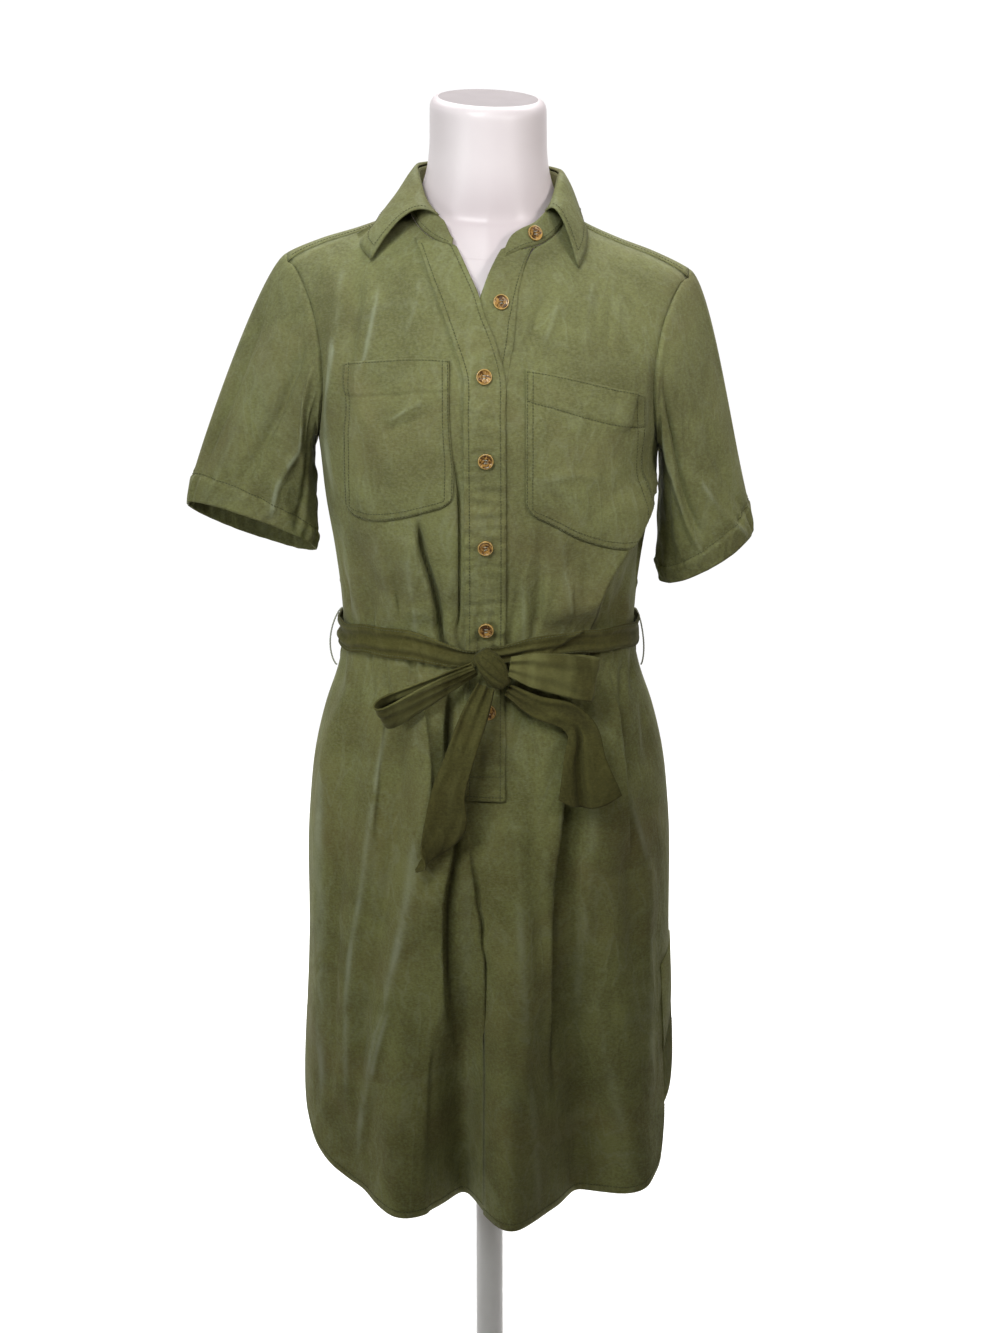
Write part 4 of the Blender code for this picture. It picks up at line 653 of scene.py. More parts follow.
def round_the_side(z, start, share):
    """Place across at a share of the way along a height's outline, from start to the side seam.

    It is read from a table of even distances along the superellipse, one line of it each 4 mm up.
    """
    levels = np.arange(0.300, 1.116, 0.004)
    half, power, depth = (along(OUTLINE, levels, k)[:, None] for k in (1, 4, 2))
    turn0 = np.arcsin((start / half) ** (power / 2))
    turn = turn0 + (np.pi / 2 - turn0) * np.linspace(0, 1, 200)
    x, y = half * np.sin(turn) ** (2 / power), depth * np.cos(turn) ** (2 / power)
    gone = np.cumsum(np.hypot(np.diff(x, prepend=x[:, :1]), np.diff(y, prepend=y[:, :1])), axis=1)
    table = np.array([np.interp(np.linspace(0, g[-1], 121), g, row) for g, row in zip(gone, x)])
    level = np.clip((z - levels[0]) / 0.004, 0, len(levels) - 1.001)
    return between(table, level, np.clip(share, 0, 0.99999) * 120)


def hem_height(share, middle, corner):
    """The shirt-tail hem: level across the middle, then rounding up to the vent's top at the side."""
    return middle + (VENT_TOP - middle) * (1 - (1 - np.clip(share, 0, 1) ** corner) ** (1 / corner))


def lower_half(side, columns, front):
    """Places (x, z) of half a panel below the underarm, from its middle edge to its side seam."""
    on_right = front and side > 0
    middle, corner = (HEM_FRONT if front else HEM_BACK), (HEM_CORNER_RIGHT if on_right else HEM_CORNER)
    share = 1 - (1 - np.linspace(0, 1, columns + 1)) ** 1.15
    low = hem_height(share, middle + (HEM_RISE_RIGHT if on_right else 0) * share, corner)
    up = np.linspace(0, 1, HEM_ROWS, endpoint=False)[:, None]
    level = np.concatenate([np.linspace(LEVEL_ROW, PLACKET_END, SKIRT_ROWS, endpoint=False),
                            np.linspace(PLACKET_END, UNDERARM, BODICE_ROWS)])[:, None]
    z = np.concatenate([low + (LEVEL_ROW - low) * up, level + 0 * share])
    lowest = np.concatenate([middle + (LEVEL_ROW - middle) * up, level])
    opened = VENT_OPEN * ease((VENT_TOP - lowest) / 0.12) if on_right else 0 * lowest
    start = abs(along(OPENING, UNDERARM, 2 if side > 0 else 1)) if front else 0.0
    return side * round_the_side(z, start, share * (1 - opened)), z


def neck_point(share):
    """The neckline in plan at a share of the way from the middle of the back to the opening."""
    return along(NECKLINE, share, 1), along(NECKLINE, share, 2)


def patch(left, right, low, top):
    """A grid blended from four edges: the blend across, plus the one up, less the one of its corners."""
    t = np.linspace(0, 1, len(low))[None, :, None]
    v = np.linspace(0, 1, len(left))[:, None, None]
    corners = ((1 - t) * (1 - v) * low[0] + t * (1 - v) * low[-1]
               + (1 - t) * v * top[0] + t * v * top[-1])
    return (1 - t) * left[:, None] + t * right[:, None] + (1 - v) * low + v * top - corners


def upper_front_half(side, bottom_x):
    """Places (x, z) above the underarm: a patch between its four edges.

    They are the underarm row, the armhole, the slot's edge, and the neckline with the shoulder seam.
    """
    columns, slot = len(bottom_x), 2 if side > 0 else 1
    neck_x, neck_y = neck_point(np.linspace(1.0, NECK_JOIN, 60))
    neck_z = top_z(neck_x, neck_y)
    first = np.argmax(neck_x >= np.abs(along(OPENING, neck_z, slot)))
    shoulder_x = np.linspace(neck_x[-1], TIP, 40)
    shoulder_z = top_z(shoulder_x, np.full(40, -YOKE_FRONT))
    top = spaced(np.column_stack([np.concatenate([neck_x[first:], shoulder_x[1:]]),
                                  np.concatenate([neck_z[first:], shoulder_z[1:]]) - SEAM_GAP]), 400)
    top = spaced(top, columns)
    v = np.linspace(0, 1, TOP_ROWS + 1)
    arm_z = UNDERARM + (top[-1, 1] - UNDERARM) * v
    arm = np.column_stack([along(ARMHOLE, arm_z), arm_z])
    slot_z = UNDERARM + (top[0, 1] - UNDERARM) * v
    inner = np.column_stack([np.abs(along(OPENING, slot_z, slot)), slot_z])
    arm[-1], inner[-1] = top[-1], top[0]
    base = np.column_stack([np.abs(bottom_x), np.full(columns, UNDERARM)])
    blend = patch(inner, arm, base, top)
    return side * blend[1:, :, 0], blend[1:, :, 1]


def unit(vectors):
    """Vectors of length 1 in the same directions."""
    return vectors / np.maximum(np.linalg.norm(vectors, axis=-1, keepdims=True), 1e-12)


def push(grid, height, ring=False, out=None):
    """Moves a grid's points by a height along its own normals, the cross of its two slopes."""
    wide = np.concatenate([grid[:, -2:], grid, grid[:, :2]], axis=1) if ring else grid
    normal = np.cross(np.gradient(wide, axis=1), np.gradient(wide, axis=0))
    normal = unit(normal[:, 2:-2] if ring else normal)
    way = grid - grid.mean(axis=1, keepdims=True) if out is None else np.array(out, float)
    normal *= np.sign((normal * way).sum())
    return grid + normal * np.asarray(height)[..., None], normal


def across_grid(grid, rows, columns, out):
    """Points at rows and columns of a grid that may lie between its own, and the outward normals there."""
    normal = push(grid, 0 * grid[..., 0], out=out)[1]
    rows, columns = np.broadcast_arrays(np.asarray(rows, float), np.asarray(columns, float))
    return between(grid, rows, columns), between(normal, rows, columns)


def add_cloth(name, grid, material, wall, rub_and_painted_shade=None, ring=False, keep=None, outward=(0, -1, 0)):
    """A sheet from a grid of points on its outer face, given its wall inward.

    Its point attribute says how far its dye is rubbed off, or with a minus how dark painted shade makes it.
    """
    grid = drop_shoulders(grid)
    faces = grid_faces(*grid.shape[:2], ring, keep)
    points = grid.reshape(-1, 3)
    a, b, c, d = (points[faces[:, n]] for n in range(4))
    way = outward(points[faces].mean(axis=1)) if callable(outward) else np.array(outward, float)
    if (np.cross(c - a, d - b) * way).sum() < 0:
        faces = faces[:, ::-1]
    made = add_mesh(name, points, faces.tolist(), material)
    wear_and_painted_light = np.zeros(len(points)) if rub_and_painted_shade is None else np.clip(rub_and_painted_shade, -1, 1.5).reshape(-1)
    made.data.attributes.new("rub_and_painted_shade", "FLOAT", "POINT").data.foreach_set("value", wear_and_painted_light)
    wall_maker = made.modifiers.new("wall", "SOLIDIFY")
    wall_maker.thickness, wall_maker.offset = wall, -1
    return made


def sueded_twill(name, painted_shade, deep, mid, pale, brown, sheen):
    """Dyed lyocell twill, washed with sand until it is matt and downy.

    The wash takes its dye off in clouds of 20 to 70 mm, in thick threads a few mm long, and along the
    crests of a crumple of 5 to 30 mm. It is pale where the mesh says that it is rubbed. Painted light
    makes it paler toward the shoulders, and painted shade makes it dark in a tight fold, where the
    mesh's value is below 0. The twill's ribs are drawn 0.9 mm apart, twice their real distance, and its
    thick threads 1.2 mm, so that they show.
    """
    made, tree, shader = new_material(name)
    place = put(tree, "TexCoord").outputs["Object"]
    wear_and_painted_light = put(tree, "Attribute", attribute_name="rub_and_painted_shade").outputs["Fac"]

    # the dye, deeper and less deep in clouds, speckled by the down and browned in broad patches
    cloud = put(tree, "TexNoise", {"Vector": place, "Scale": 15.0, "Detail": 6.0, "Roughness": 0.60,
                                   "Distortion": 0.5})
    grain = put(tree, "TexNoise", {"Vector": place, "Scale": 380.0, "Detail": 4.0, "Roughness": 0.62})
    tone = put(tree, "MapRange", {"Value": cloud, "From Min": 0.32, "From Max": 0.68})
    grained = put(tree, "MapRange", {"Value": grain, "From Min": 0.34, "From Max": 0.66, "To Min": -0.36,
                                     "To Max": 0.36})
    speckled = put(tree, "Math", {0: tone, 1: grained}, operation="ADD", use_clamp=True)
    fresh = put(tree, "Mix", {0: speckled, 6: linear(deep), 7: linear(mid)}, data_type="RGBA")
    broad = put(tree, "TexNoise", {"Vector": place, "Scale": 8.0, "Detail": 5.0, "Roughness": 0.6,
                                   "Distortion": 0.8})
    browned = put(tree, "MapRange", {"Value": broad, "From Min": 0.46, "From Max": 0.72, "To Max": 0.42})
    dye = put(tree, "Mix", {0: browned, 6: fresh, 7: linear(brown)}, data_type="RGBA")

    # paler in its thick threads, and painted paler higher on the dress as painted light
    wide = put(tree, "Mapping", {"Vector": place, "Scale": (0.30, 0.30, 1.0)})
    slub = put(tree, "TexNoise", {"Vector": wide, "Scale": 1000.0, "Detail": 2.0})
    threads = put(tree, "MapRange", {"Value": slub, "From Min": 0.45, "From Max": 0.80, "To Max": 0.13})
    height = put(tree, "SeparateXYZ", {0: place})
    # painted light: paler toward the shoulders
    painted_light_up = put(tree, "MapRange", {"Value": height.outputs["Z"], "From Min": 0.70, "From Max": 1.36,
                                   "To Max": 0.09})
    both = put(tree, "Math", {0: threads, 1: painted_light_up}, operation="ADD")
    threads_and_painted_light = put(tree, "Mix", {0: both, 6: dye, 7: linear(pale)}, data_type="RGBA")

    # paler along the crests of the crumple, which is longer down than across, and where it is rubbed
    hang = put(tree, "Mapping", {"Vector": place, "Scale": (1.0, 1.0, 0.42)})
    crumple = put(tree, "TexNoise", {"Vector": hang, "Scale": 34.0, "Detail": 3.0, "Roughness": 0.50,
                                     "Distortion": 0.7})
    above = put(tree, "Math", {0: crumple, 1: 0.5}, operation="SUBTRACT")
    away = put(tree, "Math", {0: above}, operation="ABSOLUTE")
    crest = put(tree, "MapRange", {"Value": away, "From Max": 0.045, "To Min": 1.0, "To Max": 0.0},
                interpolation_type="SMOOTHSTEP")
    patchy = put(tree, "Math", {0: crest, 1: tone}, operation="MULTIPLY")
    broken = put(tree, "MapRange", {"Value": crumple, "From Min": 0.38, "From Max": 0.70, "To Min": 0.02,
                                    "To Max": 0.44})
    downy = put(tree, "Math", {0: wear_and_painted_light, 1: broken}, operation="MULTIPLY")
    rubbed = put(tree, "Math", {0: patchy, 1: 0.11, 2: downy}, operation="MULTIPLY_ADD", use_clamp=True)
    colour = put(tree, "Mix", {0: rubbed, 6: threads_and_painted_light, 7: linear(pale)}, data_type="RGBA")

    # painted shade: dark in the tight folds, where the mesh's value is below 0
    painted_fold_shade = put(tree, "MapRange", {"Value": wear_and_painted_light, "From Max": -1.0, "To Max": 0.85})
    colour = put(tree, "Mix", {0: painted_fold_shade, 6: colour, 7: linear(painted_shade)}, data_type="RGBA")

    # relief: the down, the ribs, the thick threads, the crumple and the soft swell of the clouds
    lean = put(tree, "Mapping", {"Vector": place, "Rotation": (0.0, 0.9, 0.0)})
    rib = put(tree, "TexWave", {"Vector": lean, "Scale": 350.0, "Distortion": 1.5, "Detail": 2.0,
                                "Detail Scale": 3.0}).outputs["Fac"]
    pile = put(tree, "Bump", {"Height": grain, "Strength": 0.22, "Distance": 0.0008})
    nap = put(tree, "Bump", {"Height": rib, "Strength": 0.12, "Distance": 0.0004, "Normal": pile})
    thick = put(tree, "Bump", {"Height": slub, "Strength": 0.09, "Distance": 0.0006, "Normal": nap})
    folded = put(tree, "Bump", {"Height": away, "Strength": 0.45, "Distance": 0.0060, "Normal": thick},
                 invert=True)
    soft = put(tree, "Bump", {"Height": cloud, "Strength": 0.45, "Distance": 0.0060, "Normal": folded})
    plug(tree, shader, {"Base Color": colour, "Normal": soft, "Roughness": 0.88, "Specular IOR Level": 0.22,
                        "Sheen Weight": sheen, "Sheen Roughness": 0.45, "Sheen Tint": linear("#c4c9ae")})
    return made


dress_cloth = sueded_twill("sueded_lyocell_twill", "#2a2713", "#5b5930", "#757646", "#a9b098", "#6b5d37",
                           sheen=0.14)

halves = []
for side in (-1, 1):
    x, z = lower_half(side, HALF_COLUMNS, True)
    upper_x, upper_z = upper_front_half(side, x[-1])
    halves.append((np.concatenate([x, upper_x]), np.concatenate([z, upper_z])))
(left_x, left_z), (right_x, right_z) = halves
mix = np.arange(1, SLOT_COLUMNS) / SLOT_COLUMNS
slot_x = (1 - mix) * left_x[:, :1] + mix * right_x[:, :1]
slot_z = (1 - mix) * left_z[:, :1] + mix * right_z[:, :1]
front_x = np.concatenate([left_x[:, ::-1], slot_x, right_x], axis=1)
front_z = np.concatenate([left_z[:, ::-1], slot_z, right_z], axis=1)
front_grid, front_rub = panel_point(front_x, front_z, True)
side_rows, slot_row = HEM_ROWS + SKIRT_ROWS + BODICE_ROWS, HEM_ROWS + SKIRT_ROWS
front_grid[:side_rows, [0, -1], 1] -= SEAM_GAP / 2
front_keep = np.ones((front_grid.shape[0] - 1, front_grid.shape[1] - 1), bool)
front_keep[slot_row:, HALF_COLUMNS:HALF_COLUMNS + SLOT_COLUMNS] = False
front = add_cloth("front_cloth", front_grid, dress_cloth, WALL, front_rub, keep=front_keep)
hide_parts("front")


# ---------------------------------------------------------------- the back
# One plain panel of the same twill, longer than the front, with the same round shirt tail. It is
# sewn to the yoke across the shoulder blades and to the front at both sides.

HEM_BACK, YOKE_BACK = 0.315, 1.240
BACK_COLUMNS, BACK_TOP_ROWS = 104, 26
SKIRT_BACK = ((-0.110, -0.130, 0.840, 0.014, 0.028), (-0.060, -0.080, 0.860, -0.022, 0.028),
              (-0.020, -0.028, 0.820, 0.022, 0.026), (0.026, 0.032, 0.840, -0.024, 0.026),
              (0.070, 0.088, 0.860, 0.020, 0.028), (0.116, 0.138, 0.820, -0.012, 0.026))
BODY_BACK = ((-0.080, -0.060, 1.060, 0.925, 0.005, 0.016), (-0.040, -0.034, 1.040, 0.925, -0.004, 0.014),
             (0.050, 0.040, 1.060, 0.925, 0.005, 0.016), (0.094, 0.076, 1.040, 0.925, -0.004, 0.014),
             (-0.070, -0.076, 0.895, 0.700, 0.006, 0.018), (0.056, 0.062, 0.895, 0.700, 0.006, 0.018))
LAPS_BACK = (
    (0.005, 0.014, (-0.086, 1.08), (-0.076, 1.0), (-0.066, 0.89)),
    (0.004, -0.012, (0.06, 1.07), (0.056, 1.0), (0.05, 0.89)),
    (0.0034, 0.009, (-0.03, 1.01), (-0.026, 0.95), (-0.024, 0.89)),
    (0.0034, -0.009, (0.104, 1.02), (0.096, 0.96), (0.088, 0.89)),
    (0.0066, 0.02, (-0.056, 0.925), (-0.06, 0.82), (-0.068, 0.7), (-0.078, 0.56), (-0.084, 0.4),
     (-0.086, 0.2)),
    (0.006, -0.02, (0.03, 0.925), (0.034, 0.82), (0.036, 0.7), (0.038, 0.56), (0.04, 0.42), (0.04, 0.2)),
    (0.0046, 0.014, (0.104, 0.925), (0.114, 0.82), (0.124, 0.7), (0.132, 0.56)),
    (0.0036, 0.01, (-0.118, 0.925), (-0.13, 0.83), (-0.14, 0.74)),
)
CREASES_BACK = (
    (0.0022, 0.008, 0.008, 0.7, (-0.112, 1.2), (-0.116, 1.14), (-0.108, 1.06)),
    (-0.0024, 0.008, 0.007, 0.0, (-0.092, 1.12), (-0.084, 1.03), (-0.07, 0.932)),
    (0.0024, 0.007, 0.007, 0.6, (-0.058, 1.08), (-0.05, 1.0), (-0.044, 0.93)),
    (0.0026, 0.008, 0.01, 0.7, (0.118, 1.18), (0.112, 1.09), (0.096, 0.99), (0.086, 0.928)),
    (-0.0026, 0.007, 0.007, 0.0, (0.074, 1.1), (0.066, 1.01), (0.06, 0.93)),
    (0.0018, 0.006, 0.006, 0.5, (0.024, 1.06), (0.018, 0.99), (0.016, 0.928)),
    (-0.0018, 0.006, 0.006, 0.0, (-0.018, 1.04), (-0.014, 0.98), (-0.012, 0.928)),
    (0.003, 0.01, 0.01, 0.8, (-0.1, 0.89), (-0.12, 0.82), (-0.134, 0.7), (-0.142, 0.56), (-0.148, 0.4)),
    (-0.004, 0.01, 0.008, 0.0, (-0.06, 0.89), (-0.062, 0.8), (-0.07, 0.68), (-0.08, 0.52), (-0.086, 0.25)),
    (0.0028, 0.008, 0.01, 0.6, (-0.03, 0.885), (-0.024, 0.78), (-0.03, 0.64), (-0.034, 0.48)),
    (-0.0034, 0.008, 0.01, 0.0, (0.02, 0.89), (0.026, 0.79), (0.03, 0.64), (0.036, 0.48), (0.038, 0.25)),
    (0.003, 0.009, 0.009, 0.7, (0.066, 0.885), (0.078, 0.78), (0.086, 0.64), (0.094, 0.5), (0.1, 0.4)),
    (-0.003, 0.009, 0.009, 0.0, (0.108, 0.885), (0.124, 0.8), (0.134, 0.68), (0.142, 0.52)),
    (0.0024, 0.008, 0.008, 0.6, (0.134, 0.87), (0.152, 0.78), (0.16, 0.66), (0.164, 0.54)),
)

halves = []
for side in (-1, 1):
    x, z = lower_half(side, BACK_COLUMNS, False)
    rise = np.linspace(UNDERARM, YOKE_BACK + 0.004, BACK_TOP_ROWS + 1)[1:, None]
    share = np.abs(x[-1]) / np.abs(x[-1, -1])
    halves.append((np.concatenate([x, side * share * along(ARMHOLE, rise)]),
                   np.concatenate([z, rise + 0 * share])))
back_x, back_z = (np.concatenate([left[:, :0:-1], right], axis=1) for left, right in zip(*halves))
back_grid, back_rub = panel_point(back_x, back_z, False)
back_grid[-1] -= (0, 0.0022, 0)      # the seam allowance goes in under the yoke
back = add_cloth("back_cloth", back_grid, dress_cloth, WALL, back_rub, outward=(0, 1, 0))
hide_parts("back")


# ---------------------------------------------------------------- the yoke
# The piece over both shoulders and across the back, cut on the cross of the same twill. Its edges
# lap over front and back by a seam's width, and are stitched down close to the fold.

YOKE_ROWS, SHOULDER_CELLS, NECK_CELLS = 36, 30, 40
YOKE_LIFT, EDGE_LIFT, EDGE_BACK = 0.0004, 0.0008, 0.0014    # off the panels: all of it, its edges, its back

edge_y = -YOKE_FRONT + SEAM_GAP
shoulder = np.linspace((-TIP, edge_y), (-neck_point(NECK_JOIN)[0], edge_y), SHOULDER_CELLS + 1)
neck_share = np.linspace(-NECK_JOIN, NECK_JOIN, NECK_CELLS + 1)
neck_x, neck_y = neck_point(np.abs(neck_share))
neck_line = np.column_stack([np.sign(neck_share) * neck_x, neck_y])
inner = np.concatenate([shoulder[:-1], neck_line, shoulder[::-1][1:] * (-1, 1)])
cells = len(inner) - 1
low_x = np.linspace(-1, 1, cells + 1) * along(ARMHOLE, YOKE_BACK)
outer = np.column_stack([low_x, back_y(low_x, np.full(cells + 1, YOKE_BACK))])
rise = np.concatenate([np.linspace(1.2756, 1.2770, 10), np.linspace(1.2769, YOKE_BACK, 40)])
arm_x = along(ARMHOLE, rise)
arm_y = np.where(np.arange(50) < 10, front_y(arm_x, rise), back_y(arm_x, rise))
arm_y[0], arm_x[0] = edge_y, TIP
yoke_end = spaced(np.column_stack([arm_x, arm_y]), YOKE_ROWS + 1)
plan = patch(yoke_end * (-1, 1), yoke_end, inner, outer)
yoke_grid = np.concatenate([plan, top_z(plan[..., 0], plan[..., 1])[..., None]], axis=-1)
# both edges stand off a little, where they lap over the panels, and turn under
near_edge = np.exp(-np.arange(YOKE_ROWS + 1) / 2.0)[:, None]
yoke_grid[..., 2] += YOKE_LIFT + EDGE_LIFT * near_edge
yoke_grid[..., 1] += EDGE_BACK * near_edge[::-1]
lip, tuck = yoke_grid[:1] + (0, -0.0022, -0.0016), yoke_grid[-1:] + (0, 0.0006, -0.0035)
across = np.linspace(1, cells - 1, 400)
yoke_seams = [across_grid(yoke_grid, row, across, (0, 0, 1)) for row in (0.6, YOKE_ROWS - 0.6)]
yoke = add_cloth("yoke_cloth", np.concatenate([lip, yoke_grid, tuck]), dress_cloth, WALL, outward=(0, 0, 1))
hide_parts("yoke")


# ---------------------------------------------------------------- the plackets
# Two long bands of twill, folded double and interfaced, sewn to the slot's edges. The wearer's
# right one lies on top, carries the buttonholes, and is boxed with stitching at its lower end.

PLACKET_COLUMNS, PLACKET_ROWS = 16, 230
PLACKET_INSET = 0.0045      # from the stitching to the band's edge
PLACKET_BOX = (0.7845, 0.8040)      # heights of the stitching that boxes its lower end
PUCKER_TOP = 1.22           # above this the band lies smooth, as far as the collar


def neck_height(x):
    """Height of the front neckline at a distance from the middle."""
    neck_x, neck_y = neck_point(np.linspace(1.0, 0.6, 80))
    return np.interp(x, neck_x, top_z(neck_x, neck_y))


def placket_grid(slot_column, lift, free_column, overlap, low, slot_top):
    """A band up the front opening: across from the sewn edge to the free one, its top on the neckline."""
    z = np.linspace(low, slot_top, PLACKET_ROWS)[:, None]
    sewn_x, free_x = along(OPENING, z, slot_column) + overlap, along(OPENING, z, free_column)
    x = sewn_x + (free_x - sewn_x) * np.linspace(0, 1, PLACKET_COLUMNS + 1)
    near_top = ease((z - 1.255) / (slot_top - 1.255))
    neckline = np.minimum(neck_height(np.abs(x)) - SEAM_GAP, z + 0.004)
    level = (1 - near_top) * z + near_top * neckline
    pucker = (0.00030 * wrinkles(z, x, 21, 0.006, 0.016, 0.25)
              + 0.00025 * wrinkles(x, z, 22, 0.010, 0.030, 1.4)) * (z < PUCKER_TOP)
    edge = 0.0004 * np.exp(-np.minimum(np.abs(x - sewn_x), np.abs(x - free_x)) / 0.002)
    return panel_point(x, level, True, lift + pucker + edge)


def polyester_thread(name, dark, light):
    """Spun polyester thread: matt, and fluffy at 1 to 2 mm."""
    made, tree, shader = new_material(name)
    place = put(tree, "TexCoord").outputs["Object"]
    fluff = put(tree, "TexNoise", {"Vector": place, "Scale": 600.0, "Detail": 3.0})
    yarn = put(tree, "Mix", {0: fluff, 6: linear(dark), 7: linear(light)}, data_type="RGBA")
    plug(tree, shader, {"Base Color": yarn, "Roughness": 0.75})
    return made


# The thread of the seams is darker than the cloth, and its darkness also stands in as painted shade for the
# seams' grooves.
shade_darkened_thread = polyester_thread("polyester_thread_darkened_as_shade", "#3f4022", "#5c5d38")

STITCH_STEP, STITCH_LENGTH, STITCH_RADIUS = 0.0030, 0.0026, 0.00042
# share along a stitch, share of its radius, height of its middle in radii
STITCH_PROFILE = np.array(((-1.0, 0.35, -0.6), (-0.5, 1.0, 0.5), (0.5, 1.0, 0.5), (1.0, 0.35, -0.6)))


def add_stitches(name, lines):
    """A row of stitches along each line of points and normals: six-sided beads, sunk at both ends."""
    beads = []
    for points, normals in lines:
        gone = gone_along(points)
        at = np.arange(STITCH_STEP / 2, gone[-1], STITCH_STEP)
        centre, before, after, normal = (
            np.stack([np.interp(at + step, gone, values[:, k]) for k in range(3)], axis=1)
            for step, values in ((0, points), (-0.001, points), (0.001, points), (0, normals)))
        run, normal = unit(after - before), unit(normal)
        side = np.cross(normal, run)
        share, thick, rise = STITCH_PROFILE.T[:, None, :, None, None]
        turn = once_round(6)[None, None, :, None]
        beads.append(centre[:, None, None] + run[:, None, None] * share * STITCH_LENGTH / 2
                     + STITCH_RADIUS * (normal[:, None, None] * (rise + thick * np.sin(turn))
                                        + side[:, None, None] * thick * np.cos(turn)))
    points = drop_shoulders(np.concatenate(beads).reshape(-1, 3))
    first = np.arange(0, len(points), 24)[:, None, None]
    sides = (grid_faces(4, 6, ring=True) + first).reshape(-1, 4)[:, ::-1]
    ends = (np.stack([np.arange(6), 18 + np.arange(6)[::-1]]) + first).reshape(-1, 6)
    made = add_mesh(name, points, sides.tolist() + ends.tolist(), shade_darkened_thread)


placket_seams = []
for name, node, side, lift, column, overlap, low in (
        ("placket_under_cloth", "placket_under", 1, 0.0003, 4, 0.0010, PLACKET_END + 0.003),
        ("placket_over_cloth", "placket_over", -1, LAP + WALL, 3, -0.0030, PLACKET_END - 0.008)):
    slot_top = (left_z if side < 0 else right_z)[-1, 0]
    grid, rub_and_painted_shade = placket_grid(1 if side < 0 else 2, lift, column, overlap, low, slot_top)
    placket = add_cloth(name, grid, dress_cloth, WALL, rub_and_painted_shade)
    rows = np.linspace(0.6, PLACKET_ROWS - 2.4, 400)
    height = low + (slot_top - low) * rows / PLACKET_ROWS
    width = np.abs(along(OPENING, height, column) - along(OPENING, height, 1))
    inset = np.minimum(PLACKET_INSET * PLACKET_COLUMNS / width, 3.0)
    placket_seams.append(across_grid(grid, rows, inset, (0, -1, 0)))
    if side < 0:
        placket_seams.append(across_grid(grid, rows, PLACKET_COLUMNS - inset, (0, -1, 0)))
        for height in PLACKET_BOX:
            placket_seams.append(across_grid(grid, (height - low) / (slot_top - low) * PLACKET_ROWS,
                                             np.linspace(0.6, PLACKET_COLUMNS - 0.6, 30), (0, -1, 0)))
    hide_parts(node)


add_stitches("placket_stitching", placket_seams)
add_stitches("yoke_stitching", yoke_seams)
HEM_INSET = 0.007           # from the hems' stitching to their edges
for name, grid, way in (("front_hem_stitching", front_grid, (0, -1, 0)),
                        ("back_hem_stitching", back_grid, (0, 1, 0))):
    width = grid.shape[1]
    columns = np.linspace(2, width - 3, 500)
    step = np.interp(columns, np.arange(width), grid[1, :, 2] - grid[0, :, 2])
    rows = np.clip(HEM_INSET / np.maximum(step, 0.0012), 0, HEM_ROWS - 2)
    add_stitches(name, [across_grid(grid[:HEM_ROWS], rows, columns, way)])


# ---------------------------------------------------------------- the chest pockets
# Two patch pockets of the same twill with a soft point below, turned in and stitched on at three
# sides. Their hemmed tops stand off a little, and the wearer's left one sags open at its corner.

POCKET_LAP, HEM_BAND = 0.0014, 0.030
POCKET_WIDE, POCKET_TALL = 0.104, 0.140
POCKET_COLUMNS, POCKET_ROWS = 90, 110
# heights: sewn down at the edge, doubled in the hem, drawn in along its stitching, full in the middle
SEWN_DOWN, HEM_THICK, HEM_GROOVE, POCKET_FULL = 0.0011, 0.0007, 0.0005, 0.0014
FLAP_RISE, FLAP_GROOVE = 0.0042, 0.0008     # of the hem's end that has folded over
# stitching: distances from the sewn edge, and from each pocket's top
EDGE_INSETS, TOP_INSETS = (0.0016, 0.0065), {"pocket_left": (0.0018,), "pocket_right": (0.0018, HEM_BAND)}
# share across from the opening, place across, top height, bottom height, puff at the top
POCKETS = {
    "pocket_left": ((0.00, -0.0350, 1.1985, 1.0660, 0.0000), (0.25, -0.0600, 1.1985, 1.0570, 0.0004),
                    (0.50, -0.0850, 1.1960, 1.0490, 0.0008), (0.75, -0.1100, 1.1925, 1.0445, 0.0006),
                    (1.00, -0.1330, 1.1880, 1.0480, 0.0000)),
    "pocket_right": ((0.00, 0.0345, 1.1930, 1.0610, 0.0000), (0.25, 0.0600, 1.1890, 1.0490, 0.0006),
                     (0.50, 0.0870, 1.1835, 1.0330, 0.0015), (0.75, 0.1120, 1.1770, 1.0240, 0.0030),
                     (1.00, 0.1430, 1.1690, 1.0250, 0.0020)),
}


def pocket_place(table, a, b):
    """Places (x, z) and puff at shares a across and b down a pocket, its lower corners rounded."""
    x, top, low, puff = (along(table, a, k) for k in (1, 2, 3, 4))
    corner = np.clip((np.abs(2 * a - 1) - 0.76) / 0.24, 0, 0.999)
    low = low + 0.013 * (1 - np.sqrt(1 - corner ** 2))
    return x, top + (low - top) * b, puff


